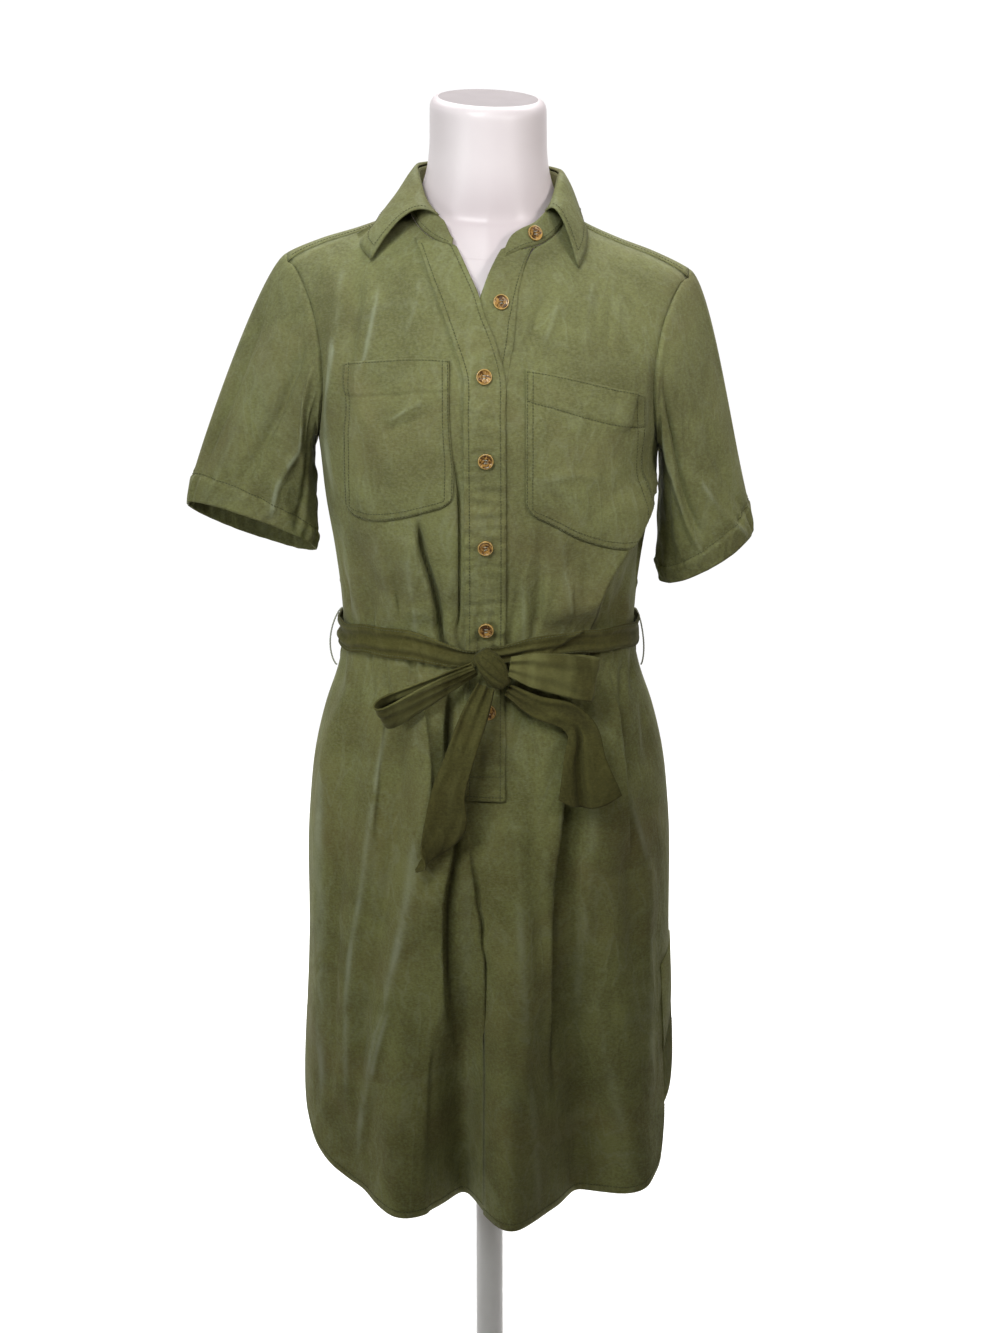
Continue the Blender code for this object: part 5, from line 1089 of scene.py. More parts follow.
for node, table in POCKETS.items():
    a, b = np.meshgrid(np.linspace(0, 1, POCKET_COLUMNS + 1), np.linspace(0, 1, POCKET_ROWS + 1))
    x, z, puff = pocket_place(table, a, b)
    edge = np.minimum(np.minimum(a, 1 - a) * 0.10, (1 - b) * POCKET_TALL)
    sewn = np.exp(-(edge / 0.0022) ** 2)
    band = HEM_BAND / POCKET_TALL
    hemmed = HEM_THICK * ease((band - b) / 0.012) - HEM_GROOVE * np.exp(-((b - band) / 0.010) ** 2)
    full = POCKET_FULL * ease(edge / 0.02)
    lift = POCKET_LAP + WALL - SEWN_DOWN * sewn + hemmed + full + puff * (1 - b) ** 2
    if node == "pocket_right":      # the end of its hem has folded over and stands off
        line = 0.935 - 0.25 * b
        flap = ease((line - a) / 0.014) * ease((a - line + 0.16) / 0.12)
        lift += FLAP_RISE * flap * ease((0.26 - b) / 0.05)
        lift -= FLAP_GROOVE * ease((a - line) / 0.01) * (b < 0.22)
    grid, rub_and_painted_shade = panel_point(x, z, True, lift)
    pocket = add_cloth(f"{node}_cloth", grid, dress_cloth, WALL, rub_and_painted_shade)
    seams = []
    for inset in EDGE_INSETS:       # down one side, across, and up the other
        left, low = POCKET_COLUMNS * inset / POCKET_WIDE, POCKET_ROWS * (1 - inset / POCKET_TALL)
        right, down = POCKET_COLUMNS - left, np.linspace(0.5, low, 60)
        rows = np.concatenate([down, np.full(58, low), down[::-1]])
        over = np.linspace(left, right, 60)[1:-1]
        columns = np.concatenate([np.full(60, left), over, np.full(60, right)])
        seams.append(across_grid(grid, rows, columns, (0, -1, 0)))
    for inset in TOP_INSETS[node]:
        seams.append(across_grid(grid, np.full(60, POCKET_ROWS * inset / POCKET_TALL),
                                 np.linspace(1.5, POCKET_COLUMNS - 1.5, 60), (0, -1, 0)))
    add_stitches(f"{node}_stitching", seams)
    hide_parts(node)


# ---------------------------------------------------------------- the sleeves
# Short set-in sleeves of the twill, each one tube sewn into its armhole. The cuff is turned in
# 34 mm and stitched, and stands open round the empty arm.

SLEEVE_AROUND, SLEEVE_ROWS = 200, 84
SLEEVE_GIRTH, SLEEVE_LONG = 0.36, 0.26
CUFF_SHARE = 0.88           # where the cuff's stitching lies along the sleeve
HEAD_IN, HEAD_UNDER = 0.0022, 0.0035        # the sleeve head's seam allowance, inside the armhole
# heights: crumple, the cuff's pucker, how far it is doubled and drawn in, fullness of the head
SLEEVE_CRUMPLE, CUFF_PUCKER, CUFF_THICK, CUFF_DRAWN, HEAD_FULL = 0.0008, 0.0006, 0.0009, 0.0030, 0.0022
# cuff's middle, its half axis toward the upper outer corner, and the one toward the front
CUFFS = {
    -1: ((-0.2310, 0.0020, 1.0150), (-0.0640, 0.0000, 0.0200), (0.0020, -0.0370, 0.0150)),
    1: ((0.2120, 0.0000, 0.9990), (0.0470, 0.0060, 0.0290), (0.0060, -0.0480, -0.0040)),
}
# Creases along the sleeve, with the same columns: half widths before and after, points (share round
# from the ridge over the front, share along)
SLEEVE_CREASES = {
    -1: ((0.0040, 0.011, 0.013, 3.2, (0.25, 0.04), (0.28, 0.24), (0.33, 0.46), (0.335, 0.56)),
         (0.0034, 0.012, 0.011, 3.2, (0.34, 0.50), (0.30, 0.74), (0.298, 0.98)),
         (0.0018, 0.008, 0.008, 1.2, (0.30, 0.08), (0.325, 0.26), (0.36, 0.42)),
         (-0.0060, 0.022, 0.011, 0.0, (0.20, 0.10), (0.235, 0.45), (0.215, 0.92)),
         (-0.0034, 0.014, 0.012, 0.0, (0.37, 0.20), (0.39, 0.60), (0.36, 1.05)),
         (0.0038, 0.020, 0.018, 0.3, (0.12, 0.15), (0.15, 0.60), (0.14, 1.05)),
         (-0.0036, 0.014, 0.016, 0.0, (0.06, 0.25), (0.09, 0.60), (0.08, 0.92)),
         (0.0022, 0.020, 0.020, 0.5, (0.70, 0.10), (0.72, 0.60), (0.74, 1.05)),
         (-0.0026, 0.022, 0.020, 0.0, (0.82, 0.15), (0.80, 0.60), (0.81, 1.05))),
    1: ((-0.0058, 0.020, 0.010, 0.0, (0.24, 0.08), (0.29, 0.30), (0.31, 0.52), (0.27, 0.90)),
        (0.0044, 0.012, 0.014, 0.8, (0.33, 0.12), (0.345, 0.34), (0.33, 0.56), (0.268, 0.96)),
        (0.0034, 0.012, 0.018, 1.4, (0.25, 0.56), (0.20, 0.76), (0.10, 1.02)),
        (-0.0028, 0.018, 0.018, 0.0, (0.18, 0.50), (0.14, 0.72), (0.06, 1.00)),
        (-0.0026, 0.018, 0.018, 0.0, (0.42, 0.20), (0.40, 0.60), (0.39, 1.05)),
        (0.0024, 0.020, 0.020, 0.5, (0.68, 0.10), (0.70, 0.60), (0.72, 1.05)),
        (-0.0026, 0.020, 0.020, 0.0, (0.80, 0.15), (0.82, 0.60), (0.80, 1.05))),
}


def armhole_loop(side):
    """The armhole's edge: from the ridge to the shoulder seam, down the front, and up the back."""
    over = np.column_stack([yoke_end, top_z(yoke_end[:, 0], yoke_end[:, 1])])
    ridge = int(np.argmax(over[:, 2]))
    down = np.linspace(over[0, 2], UNDERARM, 80)[1:]
    up = np.linspace(UNDERARM, YOKE_BACK, 60)[1:]
    ahead = np.column_stack([along(ARMHOLE, down), front_y(along(ARMHOLE, down), down), down])
    behind = np.column_stack([along(ARMHOLE, up), back_y(along(ARMHOLE, up), up), up])
    loop = np.concatenate([over[:ridge + 1][::-1], ahead, behind, over[ridge + 1:-1][::-1],
                           over[ridge:ridge + 1]])
    return spaced(loop, SLEEVE_AROUND + 1)[:-1] * (side, 1, 1)


for side, name in ((-1, "sleeve_left"), (1, "sleeve_right")):
    loop = armhole_loop(side)
    under = int(np.argmin(loop[:, 2]))
    i = np.arange(SLEEVE_AROUND)
    turn = np.where(i <= under, np.pi * i / under, np.pi + np.pi * (i - under) / (SLEEVE_AROUND - under))
    top = (1 + np.cos(turn)) / 2    # 1 over the arm and 0 under it
    # the tube leaves the armhole outward and arrives at the cuff's oval on its way down
    middle, outer, ahead = (np.array(v) for v in CUFFS[side])
    start = loop + (side * SEAM_GAP, 0, 0)
    end = middle + np.cos(turn)[:, None] * outer + np.sin(turn)[:, None] * ahead
    leave = np.column_stack([side * (0.030 + 0.040 * top), 0 * top, -0.028 * top])
    arrive = np.column_stack([side * (0.010 + 0.050 * top), 0 * top, -0.13 - 0.06 * top])
    along_it = np.linspace(0, 1, SLEEVE_ROWS + 1)
    grid = cubic(along_it[:, None, None], start, leave, end, arrive)
    u, w = np.meshgrid(turn / (2 * np.pi), along_it)
    flat_u, flat_w = SLEEVE_GIRTH * u, SLEEVE_LONG * w
    relief, rub_and_painted_shade = creases(u, w, SLEEVE_CREASES[side])
    crumpled = SLEEVE_CRUMPLE * wrinkles(flat_u, flat_w, 31 + side, 0.020, 0.055, 0.5)
    relief += crumpled * np.sin(np.pi * u) ** 2
    # the cuff: puckered by its stitching, doubled below it, and drawn in toward its edge
    in_band = ease((w - CUFF_SHARE + 0.03) / 0.03) * ease((1.02 - w) / 0.06)
    pucker = CUFF_PUCKER * wrinkles(flat_u, flat_w, 41, 0.009, 0.020, 0.2) * in_band
    past = w - CUFF_SHARE
    doubled = CUFF_THICK * ease(past / 0.015) - CUFF_THICK * np.exp(-(past / 0.010) ** 2)
    doubled -= CUFF_DRAWN * ease((past - 0.01) / 0.14)
    # the head: full beside its seam, which draws it in
    full = HEAD_FULL * np.exp(-((w - 0.055) / 0.035) ** 2) * np.sin(np.pi * u) ** 2
    seamed = full - SEAM_DRAW * np.exp(-(w / 0.008) ** 2)
    grid, _ = push(grid, relief * ease(w / 0.06) + doubled + pucker + seamed, ring=True)
    inward = unit(loop.mean(axis=0) - loop) * HEAD_IN
    grid = np.concatenate([[loop + inward - (side * HEAD_UNDER, 0, 0)], grid])
    rub_and_painted_shade = np.concatenate([rub_and_painted_shade[:1] * 0, rub_and_painted_shade])
    middles = drop_shoulders(grid).mean(axis=1)[:-1].repeat(SLEEVE_AROUND, axis=0)
    sleeve = add_cloth(f"{name}_cloth", grid, dress_cloth, WALL, rub_and_painted_shade, ring=True,
                       outward=lambda p, middles=middles: p - middles)
    closed = np.concatenate([grid, grid[:, :1]], axis=1)
    add_stitches(f"{name}_stitching", [
        across_grid(closed, 1 + CUFF_SHARE * SLEEVE_ROWS, np.linspace(0, SLEEVE_AROUND, 400),
                    closed - closed.mean(axis=1, keepdims=True))])
    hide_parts(name)


# ---------------------------------------------------------------- the collar
# A stand sewn up round the neckline and a leaf that rolls over it, both of doubled twill with an
# interfacing between. They lie open at the top, where only the stand's end carries a button.

STAND_LIFT, STAND_END, STAND_TUCK, LEAF_RIPPLE = 0.0006, 1.20, 0.0015, 0.0007
STAND_COLUMNS, STAND_ROWS, LEAF_COLUMNS, LEAF_ROWS = 240, 10, 200, 24
LEAF_SHARE, LEAF_WALL = (0.90, 0.84), 0.0017        # where it ends along the stand, at -X and at +X
# share of the neckline, how far the stand leans in toward the neck, how far it rises
STAND = ((0.00, 0.004, 0.033), (0.36, 0.007, 0.034), (0.60, 0.010, 0.031), (0.82, 0.009, 0.022),
         (1.00, 0.007, 0.017))
# share, the leaf's free edge in plan, its stand-off from the shoulders, how high and how far it rolls
LEAF_LEFT = ((0.00, 0.0000, 0.0900, 0.003, 0.007, 0.007), (0.20, 0.0440, 0.0840, 0.003, 0.007, 0.007),
             (0.40, 0.0740, 0.0600, 0.003, 0.007, 0.007), (0.58, 0.0860, 0.0200, 0.003, 0.007, 0.007),
             (0.76, 0.1080, -0.0230, 0.003, 0.006, 0.008), (0.90, 0.1190, -0.0450, 0.005, 0.007, 0.014),
             (1.00, 0.1075, -0.0610, 0.005, 0.012, 0.030))
LEAF_RIGHT = ((0.00, 0.0000, 0.0900, 0.003, 0.007, 0.007), (0.20, 0.0440, 0.0840, 0.003, 0.007, 0.007),
              (0.40, 0.0740, 0.0600, 0.003, 0.007, 0.007), (0.58, 0.0860, 0.0220, 0.003, 0.007, 0.007),
              (0.76, 0.0905, -0.0200, 0.003, 0.006, 0.008), (0.90, 0.0915, -0.0500, 0.005, 0.007, 0.010),
              (1.00, 0.0850, -0.0700, 0.006, 0.010, 0.016))


def stand_lines(share):
    """Lower and upper edge of the collar stand at signed shares of the neckline."""
    side = np.where(share < 0, -1.0, 1.0)
    x, y = neck_point(np.abs(share))
    z, reach = top_z(x, y), np.hypot(x, y)
    lean, rise = along(STAND, np.abs(share), 1), along(STAND, np.abs(share), 2)
    foot = np.stack([side * x, y, z + STAND_LIFT + WALL], axis=-1)
    head = np.stack([side * x * (1 - lean / reach), y * (1 - lean / reach), z + STAND_LIFT + rise], axis=-1)
    return foot, head


share = np.linspace(-1, STAND_END, STAND_COLUMNS + 1)
foot, head = stand_lines(share)
rounded = np.where(share < 0, 0.35 + 0.65 * ease((1 + share) / 0.08),
                   np.sqrt(1 - np.clip((share - 1) / (STAND_END - 1), 0, 0.995) ** 2))
v = np.linspace(0, 1, STAND_ROWS + 1)[:, None, None]
stand_grid = foot + v * rounded[:, None] * (head - foot)
stand_grid[0] -= (0, 0, STAND_TUCK)     # its lower edge goes in under the neckline's seam
collar_stand = add_cloth("collar_stand_cloth", stand_grid, dress_cloth, WALL,
                         outward=lambda p: p * (1, 1, 0))

# the leaf rolls from the stand's head over a crown to its free edge, as a curve of the second degree
share = np.linspace(-1, 1, LEAF_COLUMNS + 1)
foot, head = stand_lines(share * np.where(share < 0, *LEAF_SHARE))
x, y, off, roll, reach = (np.where(share < 0, along(LEAF_LEFT, np.abs(share), k),
                                   along(LEAF_RIGHT, np.abs(share), k)) for k in (1, 2, 3, 4, 5))
edge = np.stack([np.sign(share) * x, y, top_z(x, y) + off + WALL], axis=-1)
away = unit((edge - head) * (1, 1, 0))
begin = head + (0, 0, WALL + 2 * SEAM_GAP)
crown = head + away * reach[:, None] + np.column_stack([0 * roll, 0 * roll, 2.0 * roll])
v = np.linspace(0, 1, LEAF_ROWS + 1)[:, None, None]
leaf_grid = (1 - v) ** 2 * begin + 2 * v * (1 - v) * crown + v * v * edge
v = v[..., 0]
leaf_wave = LEAF_RIPPLE * wrinkles(0.35 * share[None], 0.06 * v, 51, 0.030, 0.080, 1.0)
leaf_grid, _ = push(leaf_grid, leaf_wave * v, out=(0, 0, 1))
leaf_rub = 0.6 * np.exp(-((v - 0.22) / 0.10) ** 2) + 0 * share
collar_leaf = add_cloth("collar_leaf_cloth", leaf_grid, dress_cloth, LEAF_WALL, leaf_rub,
                        outward=lambda p: p * (1, 1, 0) + (0, 0, 0.1))
low, left, right = LEAF_ROWS - 2, 2.5, LEAF_COLUMNS - 2.5      # its stitching runs inside three edges
down = np.linspace(4, low, 30)
leaf_rows = np.concatenate([down, np.full(300, low), down[::-1]])
leaf_columns = np.concatenate([np.full(30, left), np.linspace(left, right, 300), np.full(30, right)])
add_stitches("collar_stitching", [
    across_grid(leaf_grid, leaf_rows, leaf_columns, (0, 0, 1)),
    across_grid(stand_grid, 1.4, np.linspace(2, STAND_COLUMNS - 2, 300), (0, 0, 1))])
for piece, node, flat, area, on in (
        (collar_stand, "collar_stand", (0.034, 0.38), 0.0105, "form_shell"),
        (collar_leaf, "collar_leaf", (0.062, 0.44), 0.021, "collar_stand_cloth")):
    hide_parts(node)


# ---------------------------------------------------------------- the belt and its bow
# A long strap of the twill, folded double, turned and pressed flat, which runs through a thread
# carrier at each side and is tied at the front in a bow with two loops and two tails.

BELT_WALL, BELT_OFF, BELT_ROWS, BELT_AROUND = 0.0015, 0.0036, 27, 560
BELT_SIDE_RISE, BELT_BACK_HALF, BELT_RADIUS = 0.008, 0.015, 0.13
# heights: of the belt over the placket, of its pleats, of the twist in it, and of its drift up and down
OVER_PLACKET, BELT_PLEAT, BELT_TWIST, BELT_DRIFT = 0.0016, 0.0007, 0.0026, 0.0007
# place across the front, rise of the belt's middle above the waist, half of its height
BELT_FRONT = ((-0.150, 0.0085, 0.0130), (-0.110, 0.0140, 0.0140), (-0.083, 0.0155, 0.0148),
              (-0.050, 0.0110, 0.0130), (-0.016, 0.0055, 0.0080), (0.010, 0.0080, 0.0085),
              (0.040, 0.0150, 0.0112), (0.075, 0.0170, 0.0112), (0.110, 0.0155, 0.0118),
              (0.150, 0.0085, 0.0125))
belt_cloth = sueded_twill("belt_twill", "#1c190c", "#3b3818", "#4e4a22", "#828150", "#463c1c", sheen=0.10)

turn, v = np.meshgrid(once_round(BELT_AROUND), np.linspace(-1, 1, BELT_ROWS))
round_x, round_y = np.sin(turn), np.cos(turn)
ahead = round_y > 0
waist_half, waist_power = along(OUTLINE, WAIST, 1), along(OUTLINE, WAIST, 4)
plan_x = waist_half * np.sign(round_x) * np.abs(round_x) ** (2 / waist_power)
rise = np.where(ahead, along(BELT_FRONT, plan_x, 1), BELT_SIDE_RISE * (1 - round_y ** 2))
half_high = np.where(ahead, along(BELT_FRONT, plan_x, 2), BELT_BACK_HALF - 0.002 * (1 - round_y ** 2))
height = WAIST + rise + half_high * v
half, power = along(OUTLINE, height, 1), along(OUTLINE, height, 4)
depth = np.where(ahead, along(OUTLINE, height, 2), along(OUTLINE, height, 3))
over_placket = OVER_PLACKET * np.exp(-(plan_x / 0.030) ** 2) * ahead
off = BELT_OFF + BELT_WALL + over_placket
belt_grid = np.stack([(half + off) * np.sign(round_x) * np.abs(round_x) ** (2 / power),
                      -(depth + off) * np.sign(round_y) * np.abs(round_y) ** (2 / power), height], axis=-1)
# pleats along it, deepest beside the knot, a twist in front, and a slow drift up and down
girth = BELT_RADIUS * turn
gathered = 1 + 1.4 * np.exp(-((plan_x - 0.004) / 0.05) ** 2) * ahead
lengthwise = BELT_PLEAT * gathered * wrinkles(half_high * v, 0.10 * girth, 61, 0.0075, 0.016, 0.25)
slanted = (plan_x - 0.047) * 0.52 - (height - WAIST - 0.006) * 0.86
twisted = (BELT_TWIST * np.exp(-(slanted / np.where(slanted < 0, 0.016, 0.0016)) ** 2) * ahead
           * ease((plan_x - 0.028) / 0.02) * ease((0.112 - plan_x) / 0.02))
belt_grid, _ = push(belt_grid, lengthwise * (1 - v ** 4) + twisted, ring=True)
belt_grid[..., 2] += BELT_DRIFT * wrinkles(girth, 0 * girth, 67, 0.05, 0.16, 0.0)
belt_rub = 0.5 * np.clip(lengthwise / 0.0010, 0, 1) + 0.5 * np.clip(twisted / 0.002, 0, 1)
closed = np.concatenate([belt_grid, belt_grid[:, :1]], axis=1)
add_stitches("belt_stitching", [
    across_grid(closed, row, np.linspace(0, BELT_AROUND, 900), closed * (1, 1, 0))
    for row in (1.8, BELT_ROWS - 2.8)])
belt = add_cloth("belt_cloth", belt_grid, belt_cloth, BELT_WALL, belt_rub, ring=True,
                 outward=lambda p: p * (1, 1, 0))
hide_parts("belt")

LOOP_ROOT, STRAP_ROWS, STRAP_COLUMNS = 0.0030, 21, 121
PLEAT, TAIL_PLEAT = 0.0013, 0.0016          # heights of the pleats that the knot presses in
LOOP_CRUMPLE, TAIL_CRUMPLE = 0.0005, 0.0007
TAIL_FLAT, TAIL_FOLD, TAIL_ROUND = 0.0022, 0.0075, 0.011    # the right tail's flats, fold and cut end
# Each loop of the bow: root at the knot, direction it runs in, direction from its back strand to
# its front one, its length, half the room inside, the seed of its creases, and its widths.
LOOPS = {
    "bow_loop_left": (
        (-0.0125, -0.1240, 0.9110), (-0.89, -0.10, -0.44), (0.10, -0.76, -0.64), 0.101, 0.0095, 71,
        (0.014, 0.024, 0.031, 0.034, 0.035, 0.034, 0.031, 0.024, 0.014)),
    "bow_loop_right": (
        (0.0200, -0.1240, 0.9130), (0.98, 0.02, -0.16), (0.02, -1.00, 0.05), 0.083, 0.0060, 73,
        (0.018, 0.032, 0.037, 0.041, 0.042, 0.041, 0.037, 0.032, 0.018)),
}
# Each tail of the bow, from the knot down: its middle line, the way across it, and its width.
TAILS = {
    "tail_left": (
        (-0.002, -0.127, 0.8945, 0.90, 0.2, 0.0, 0.018), (-0.014, -0.142, 0.866, 0.95, 0.1, 0.2, 0.026),
        (-0.027, -0.146, 0.830, 1.00, -0.2, 0.2, 0.028), (-0.038, -0.1475, 0.795, 0.95, -0.2, 0.2, 0.032),
        (-0.041, -0.149, 0.762, 0.95, 0.1, 0.3, 0.040), (-0.053, -0.149, 0.733, 0.75, 0.2, 0.65, 0.028),
        (-0.068, -0.149, 0.718, 0.70, 0.2, 0.68, 0.004)),
    "tail_right": (
        (0.018, -0.1208, 0.890, 0.00, 0.1, 1.0, 0.012), (0.046, -0.126, 0.874, 0.10, 0.1, 1.0, 0.022),
        (0.074, -0.128, 0.866, 0.35, 0.1, 0.9, 0.026), (0.089, -0.130, 0.850, 0.85, 0.1, 0.5, 0.030),
        (0.091, -0.134, 0.822, 1.00, 0.1, 0.1, 0.042), (0.096, -0.137, 0.788, 1.00, 0.15, -0.1, 0.062)),
}
v, share = np.linspace(-1, 1, STRAP_ROWS)[:, None], np.linspace(0, 1, STRAP_COLUMNS)

for name, (root, ahead, forward, length, room, seed, widths) in LOOPS.items():
    root, ahead = np.array(root), unit(np.array(ahead))
    forward = unit(np.array(forward) - np.dot(forward, ahead) * ahead)
    up = np.cross(forward, ahead)
    up *= np.sign(up[2])
    t = np.linspace(0, np.pi, 800)
    out, apart = length * np.sin(t) ** 0.32, np.cos(t) * (LOOP_ROOT + room * np.sin(t))
    line = spaced(root + out[:, None] * ahead + apart[:, None] * forward, STRAP_COLUMNS)
    width = np.interp(share, np.linspace(0, 1, len(widths)), widths)
    grid = line[None] + (v * width / 2)[..., None] * up
    fan = np.exp(-((share - np.round(share)) / 0.22) ** 2)
    pleats = (PLEAT * np.cos(2.6 * np.pi * v + 0.8) * fan
              + LOOP_CRUMPLE * wrinkles(0.02 * v, 0.06 * share[None], seed, 0.010, 0.022, 0.5))
    centre = root + ahead * length / 2
    grid, _ = push(grid, pleats * (1 - v ** 6), out=grid - centre)
    wear_and_painted_light = 1.4 + 0.5 * np.clip(pleats / PLEAT, 0, 1)
    loop = add_cloth(f"{name}_cloth", grid, belt_cloth, BELT_WALL, wear_and_painted_light,
                     outward=lambda p, centre=centre: p - centre)
    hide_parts(name)

for name, table in TAILS.items():
    rows = finer(np.array(table), STRAP_COLUMNS)
    line, facing, width = rows[:, :3], rows[:, 3:6], rows[:, 6]
    run = unit(np.gradient(line, axis=0))
    facing = unit(facing - (facing * run).sum(axis=1, keepdims=True) * run)
    grid = line[None] + (v * width / 2)[..., None] * facing
    # the right tail is painted darker all over, as painted shade
    seed, painted_shade = (81, 0.0) if name == "tail_left" else (83, 0.25)
    crumpled = TAIL_CRUMPLE * wrinkles(0.016 * v, 0.10 * share[None], seed, 0.010, 0.030, 0.4)
    pleats = TAIL_PLEAT * np.cos(2.2 * np.pi * v + 0.5) * np.exp(-share / 0.25)
    creased = (pleats + crumpled) * (1 - v ** 8)
    if name == "tail_left":     # its end has turned over along a line that runs in from the +X edge
        past = np.clip(v - (1.0 - 3.0 * np.clip(share - 0.66, 0, 1)), 0, 2)
        creased -= 0.70 * width * past * ease((share - 0.64) / 0.06) * ease((0.98 - share) / 0.22)
    else:                       # it hangs in two flats with a fold between them, its end cut round
        fold = TAIL_FOLD * np.exp(-((v + 0.25) / 0.16) ** 2)
        creased += (TAIL_FLAT - fold) * ease((share - 0.45) / 0.2)
        grid[..., 2] -= TAIL_ROUND * (1 - (v - 0.15) ** 2) * share ** 8
    grid, _ = push(grid, creased, out=(0, -1, 0))
    wear_and_painted_light = 0.4 * np.clip(creased / 0.0012, 0, 1) - painted_shade
    tail = add_cloth(f"{name}_cloth", grid, belt_cloth, BELT_WALL, wear_and_painted_light)
    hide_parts(name)

# The knot, a short barrel that leans over, its cloth gathered into pinches that wind along it.
KNOT, KNOT_HALF, KNOT_TURN = (0.0040, -0.1220, 0.9105), (0.0122, 0.0115, 0.0200), 0.62
PINCHES = (-1.25, -0.45, 0.40, 1.20, 2.20, 3.10, 4.00)      # angles round it, from the front
t, turn = np.linspace(-1, 1, 61)[:, None], once_round(120)[None]
size = (1 - 0.40 * t ** 4) * (0.95 + 0.05 * np.cos(np.pi * t))
wound = turn + np.pi / 2 + 0.55 * t     # 0 where the knot faces forward, twisted along its length
pinches = sum(np.exp(-((np.mod(wound - at + np.pi, 2 * np.pi) - np.pi) / 0.13) ** 2) for at in PINCHES)
size = size * (1.02 - 0.17 * pinches * (1 - 0.4 * t ** 2) + 0.025 * np.cos(9 * turn - 2.4 * t))
x = KNOT_HALF[0] * size * np.cos(turn)
y = KNOT_HALF[1] * size * np.sin(turn)
z = KNOT_HALF[2] * t + 0 * turn
rings = np.stack([x * np.cos(KNOT_TURN) - z * np.sin(KNOT_TURN), y,
                  x * np.sin(KNOT_TURN) + z * np.cos(KNOT_TURN)], axis=-1) + KNOT
knot = add_tube("knot_cloth", rings, belt_cloth)
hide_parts("knot")


# ---------------------------------------------------------------- the thread carriers
# A loop of several threads twisted together, sewn to each side seam above and below the belt.

CARRIER_TOP, CARRIER_LOW, CARRIER_Y, CARRIER_RADIUS = 0.938, 0.880, 0.004, 0.0009
TWIST = 44                  # angle through which it turns on its way down, in radians

# Their thread, which sews on the buttons too, is paler than the cloth.
sewing_thread = polyester_thread("spun_polyester_thread", "#8f907c", "#b4b4a6")

for name, side, stand_off in (("carrier_left", -1, 0.0125), ("carrier_right", 1, 0.0085)):
    share = np.linspace(0, 1, 61)
    height = CARRIER_TOP + (CARRIER_LOW - CARRIER_TOP) * share
    seat = along(OUTLINE, height, 1) + CARRIER_RADIUS + SEAM_GAP
    line = np.column_stack([side * (seat + (stand_off - SEAM_GAP) * np.sin(np.pi * share) ** 0.7),
                            np.full(61, CARRIER_Y), height])
    square = unit(np.cross(unit(np.gradient(line, axis=0)), (0, 1.0, 0)))
    turn = once_round(24)
    # three lobes, which turn seven times on their way down
    twisted = CARRIER_RADIUS * (0.80 + 0.20 * np.cos(3 * (turn[None] - TWIST * share[:, None])))
    rings = (line[:, None] + (twisted * np.cos(turn))[..., None] * square[:, None]
             + (twisted * np.sin(turn))[..., None] * np.array([0, 1.0, 0]))
    carrier = add_tube(f"{name}_thread", drop_shoulders(rings), sewing_thread)
    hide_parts(name)


# ---------------------------------------------------------------- the buttons
# Seven round four-hole buttons, 15 mm across, moulded in a marbled resin like tortoiseshell with
# a raised rim, and each sewn on with two bars of thread.

BUTTON_RADIUS, BUTTON_ROWS, BUTTON_AROUND = 0.0073, 46, 56
HOLE_OUT, HOLE_RADIUS, HOLE_DEEP = 0.0013, 0.0008, 0.0016    # HOLE_OUT is from each line of symmetry
BAR_HALF, BAR_RADIUS, BAR_SEAT, BAR_RISE = 0.0014, 0.00035, 0.0017, 0.0006
ON_BAND = LAP + WALL + SEAM_GAP     # from the body's surface to a button on the upper band
# number from the top, place across, height, distance of its underside from the body's surface
BUTTONS = ((2, 0.0120, 1.2510, SEAM_GAP), (3, -0.0035, 1.1850, ON_BAND), (4, -0.0020, 1.1095, ON_BAND),
           (5, -0.0025, 1.0270, ON_BAND), (6, -0.0020, 0.9450, ON_BAND), (7, 0.0000, 0.8650, ON_BAND))
# share of the radius and height of the button's profile, from under its edge to its middle
BUTTON_PROFILE = ((0.80, 0.0), (0.93, 0.0003), (1.00, 0.0010), (1.00, 0.0018), (0.96, 0.0025),
                  (0.90, 0.0027), (0.84, 0.0026), (0.78, 0.0021), (0.70, 0.0018), (0.0, 0.0017))

# Polished resin: amber and dark brown marbling 3 to 5 mm across, with a pale gold painted highlight round
# the rim.
tortoiseshell, tree, shader = new_material("tortoiseshell_resin")
place = put(tree, "TexCoord").outputs["Object"]
marble = put(tree, "TexNoise", {"Vector": place, "Scale": 240.0, "Detail": 2.0, "Distortion": 1.2})
edge = put(tree, "Attribute", attribute_name="rim").outputs["Fac"]
vein = put(tree, "MapRange", {"Value": marble, "From Min": 0.40, "From Max": 0.62})
resin = put(tree, "Mix", {0: vein, 6: linear("#4a2f16"), 7: linear("#b08546")}, data_type="RGBA")
painted_rim_highlight = put(tree, "Mix", {0: edge, 6: resin, 7: linear("#c7a360")}, data_type="RGBA")
plug(tree, shader, {"Base Color": painted_rim_highlight, "Roughness": 0.24, "Coat Weight": 0.25})


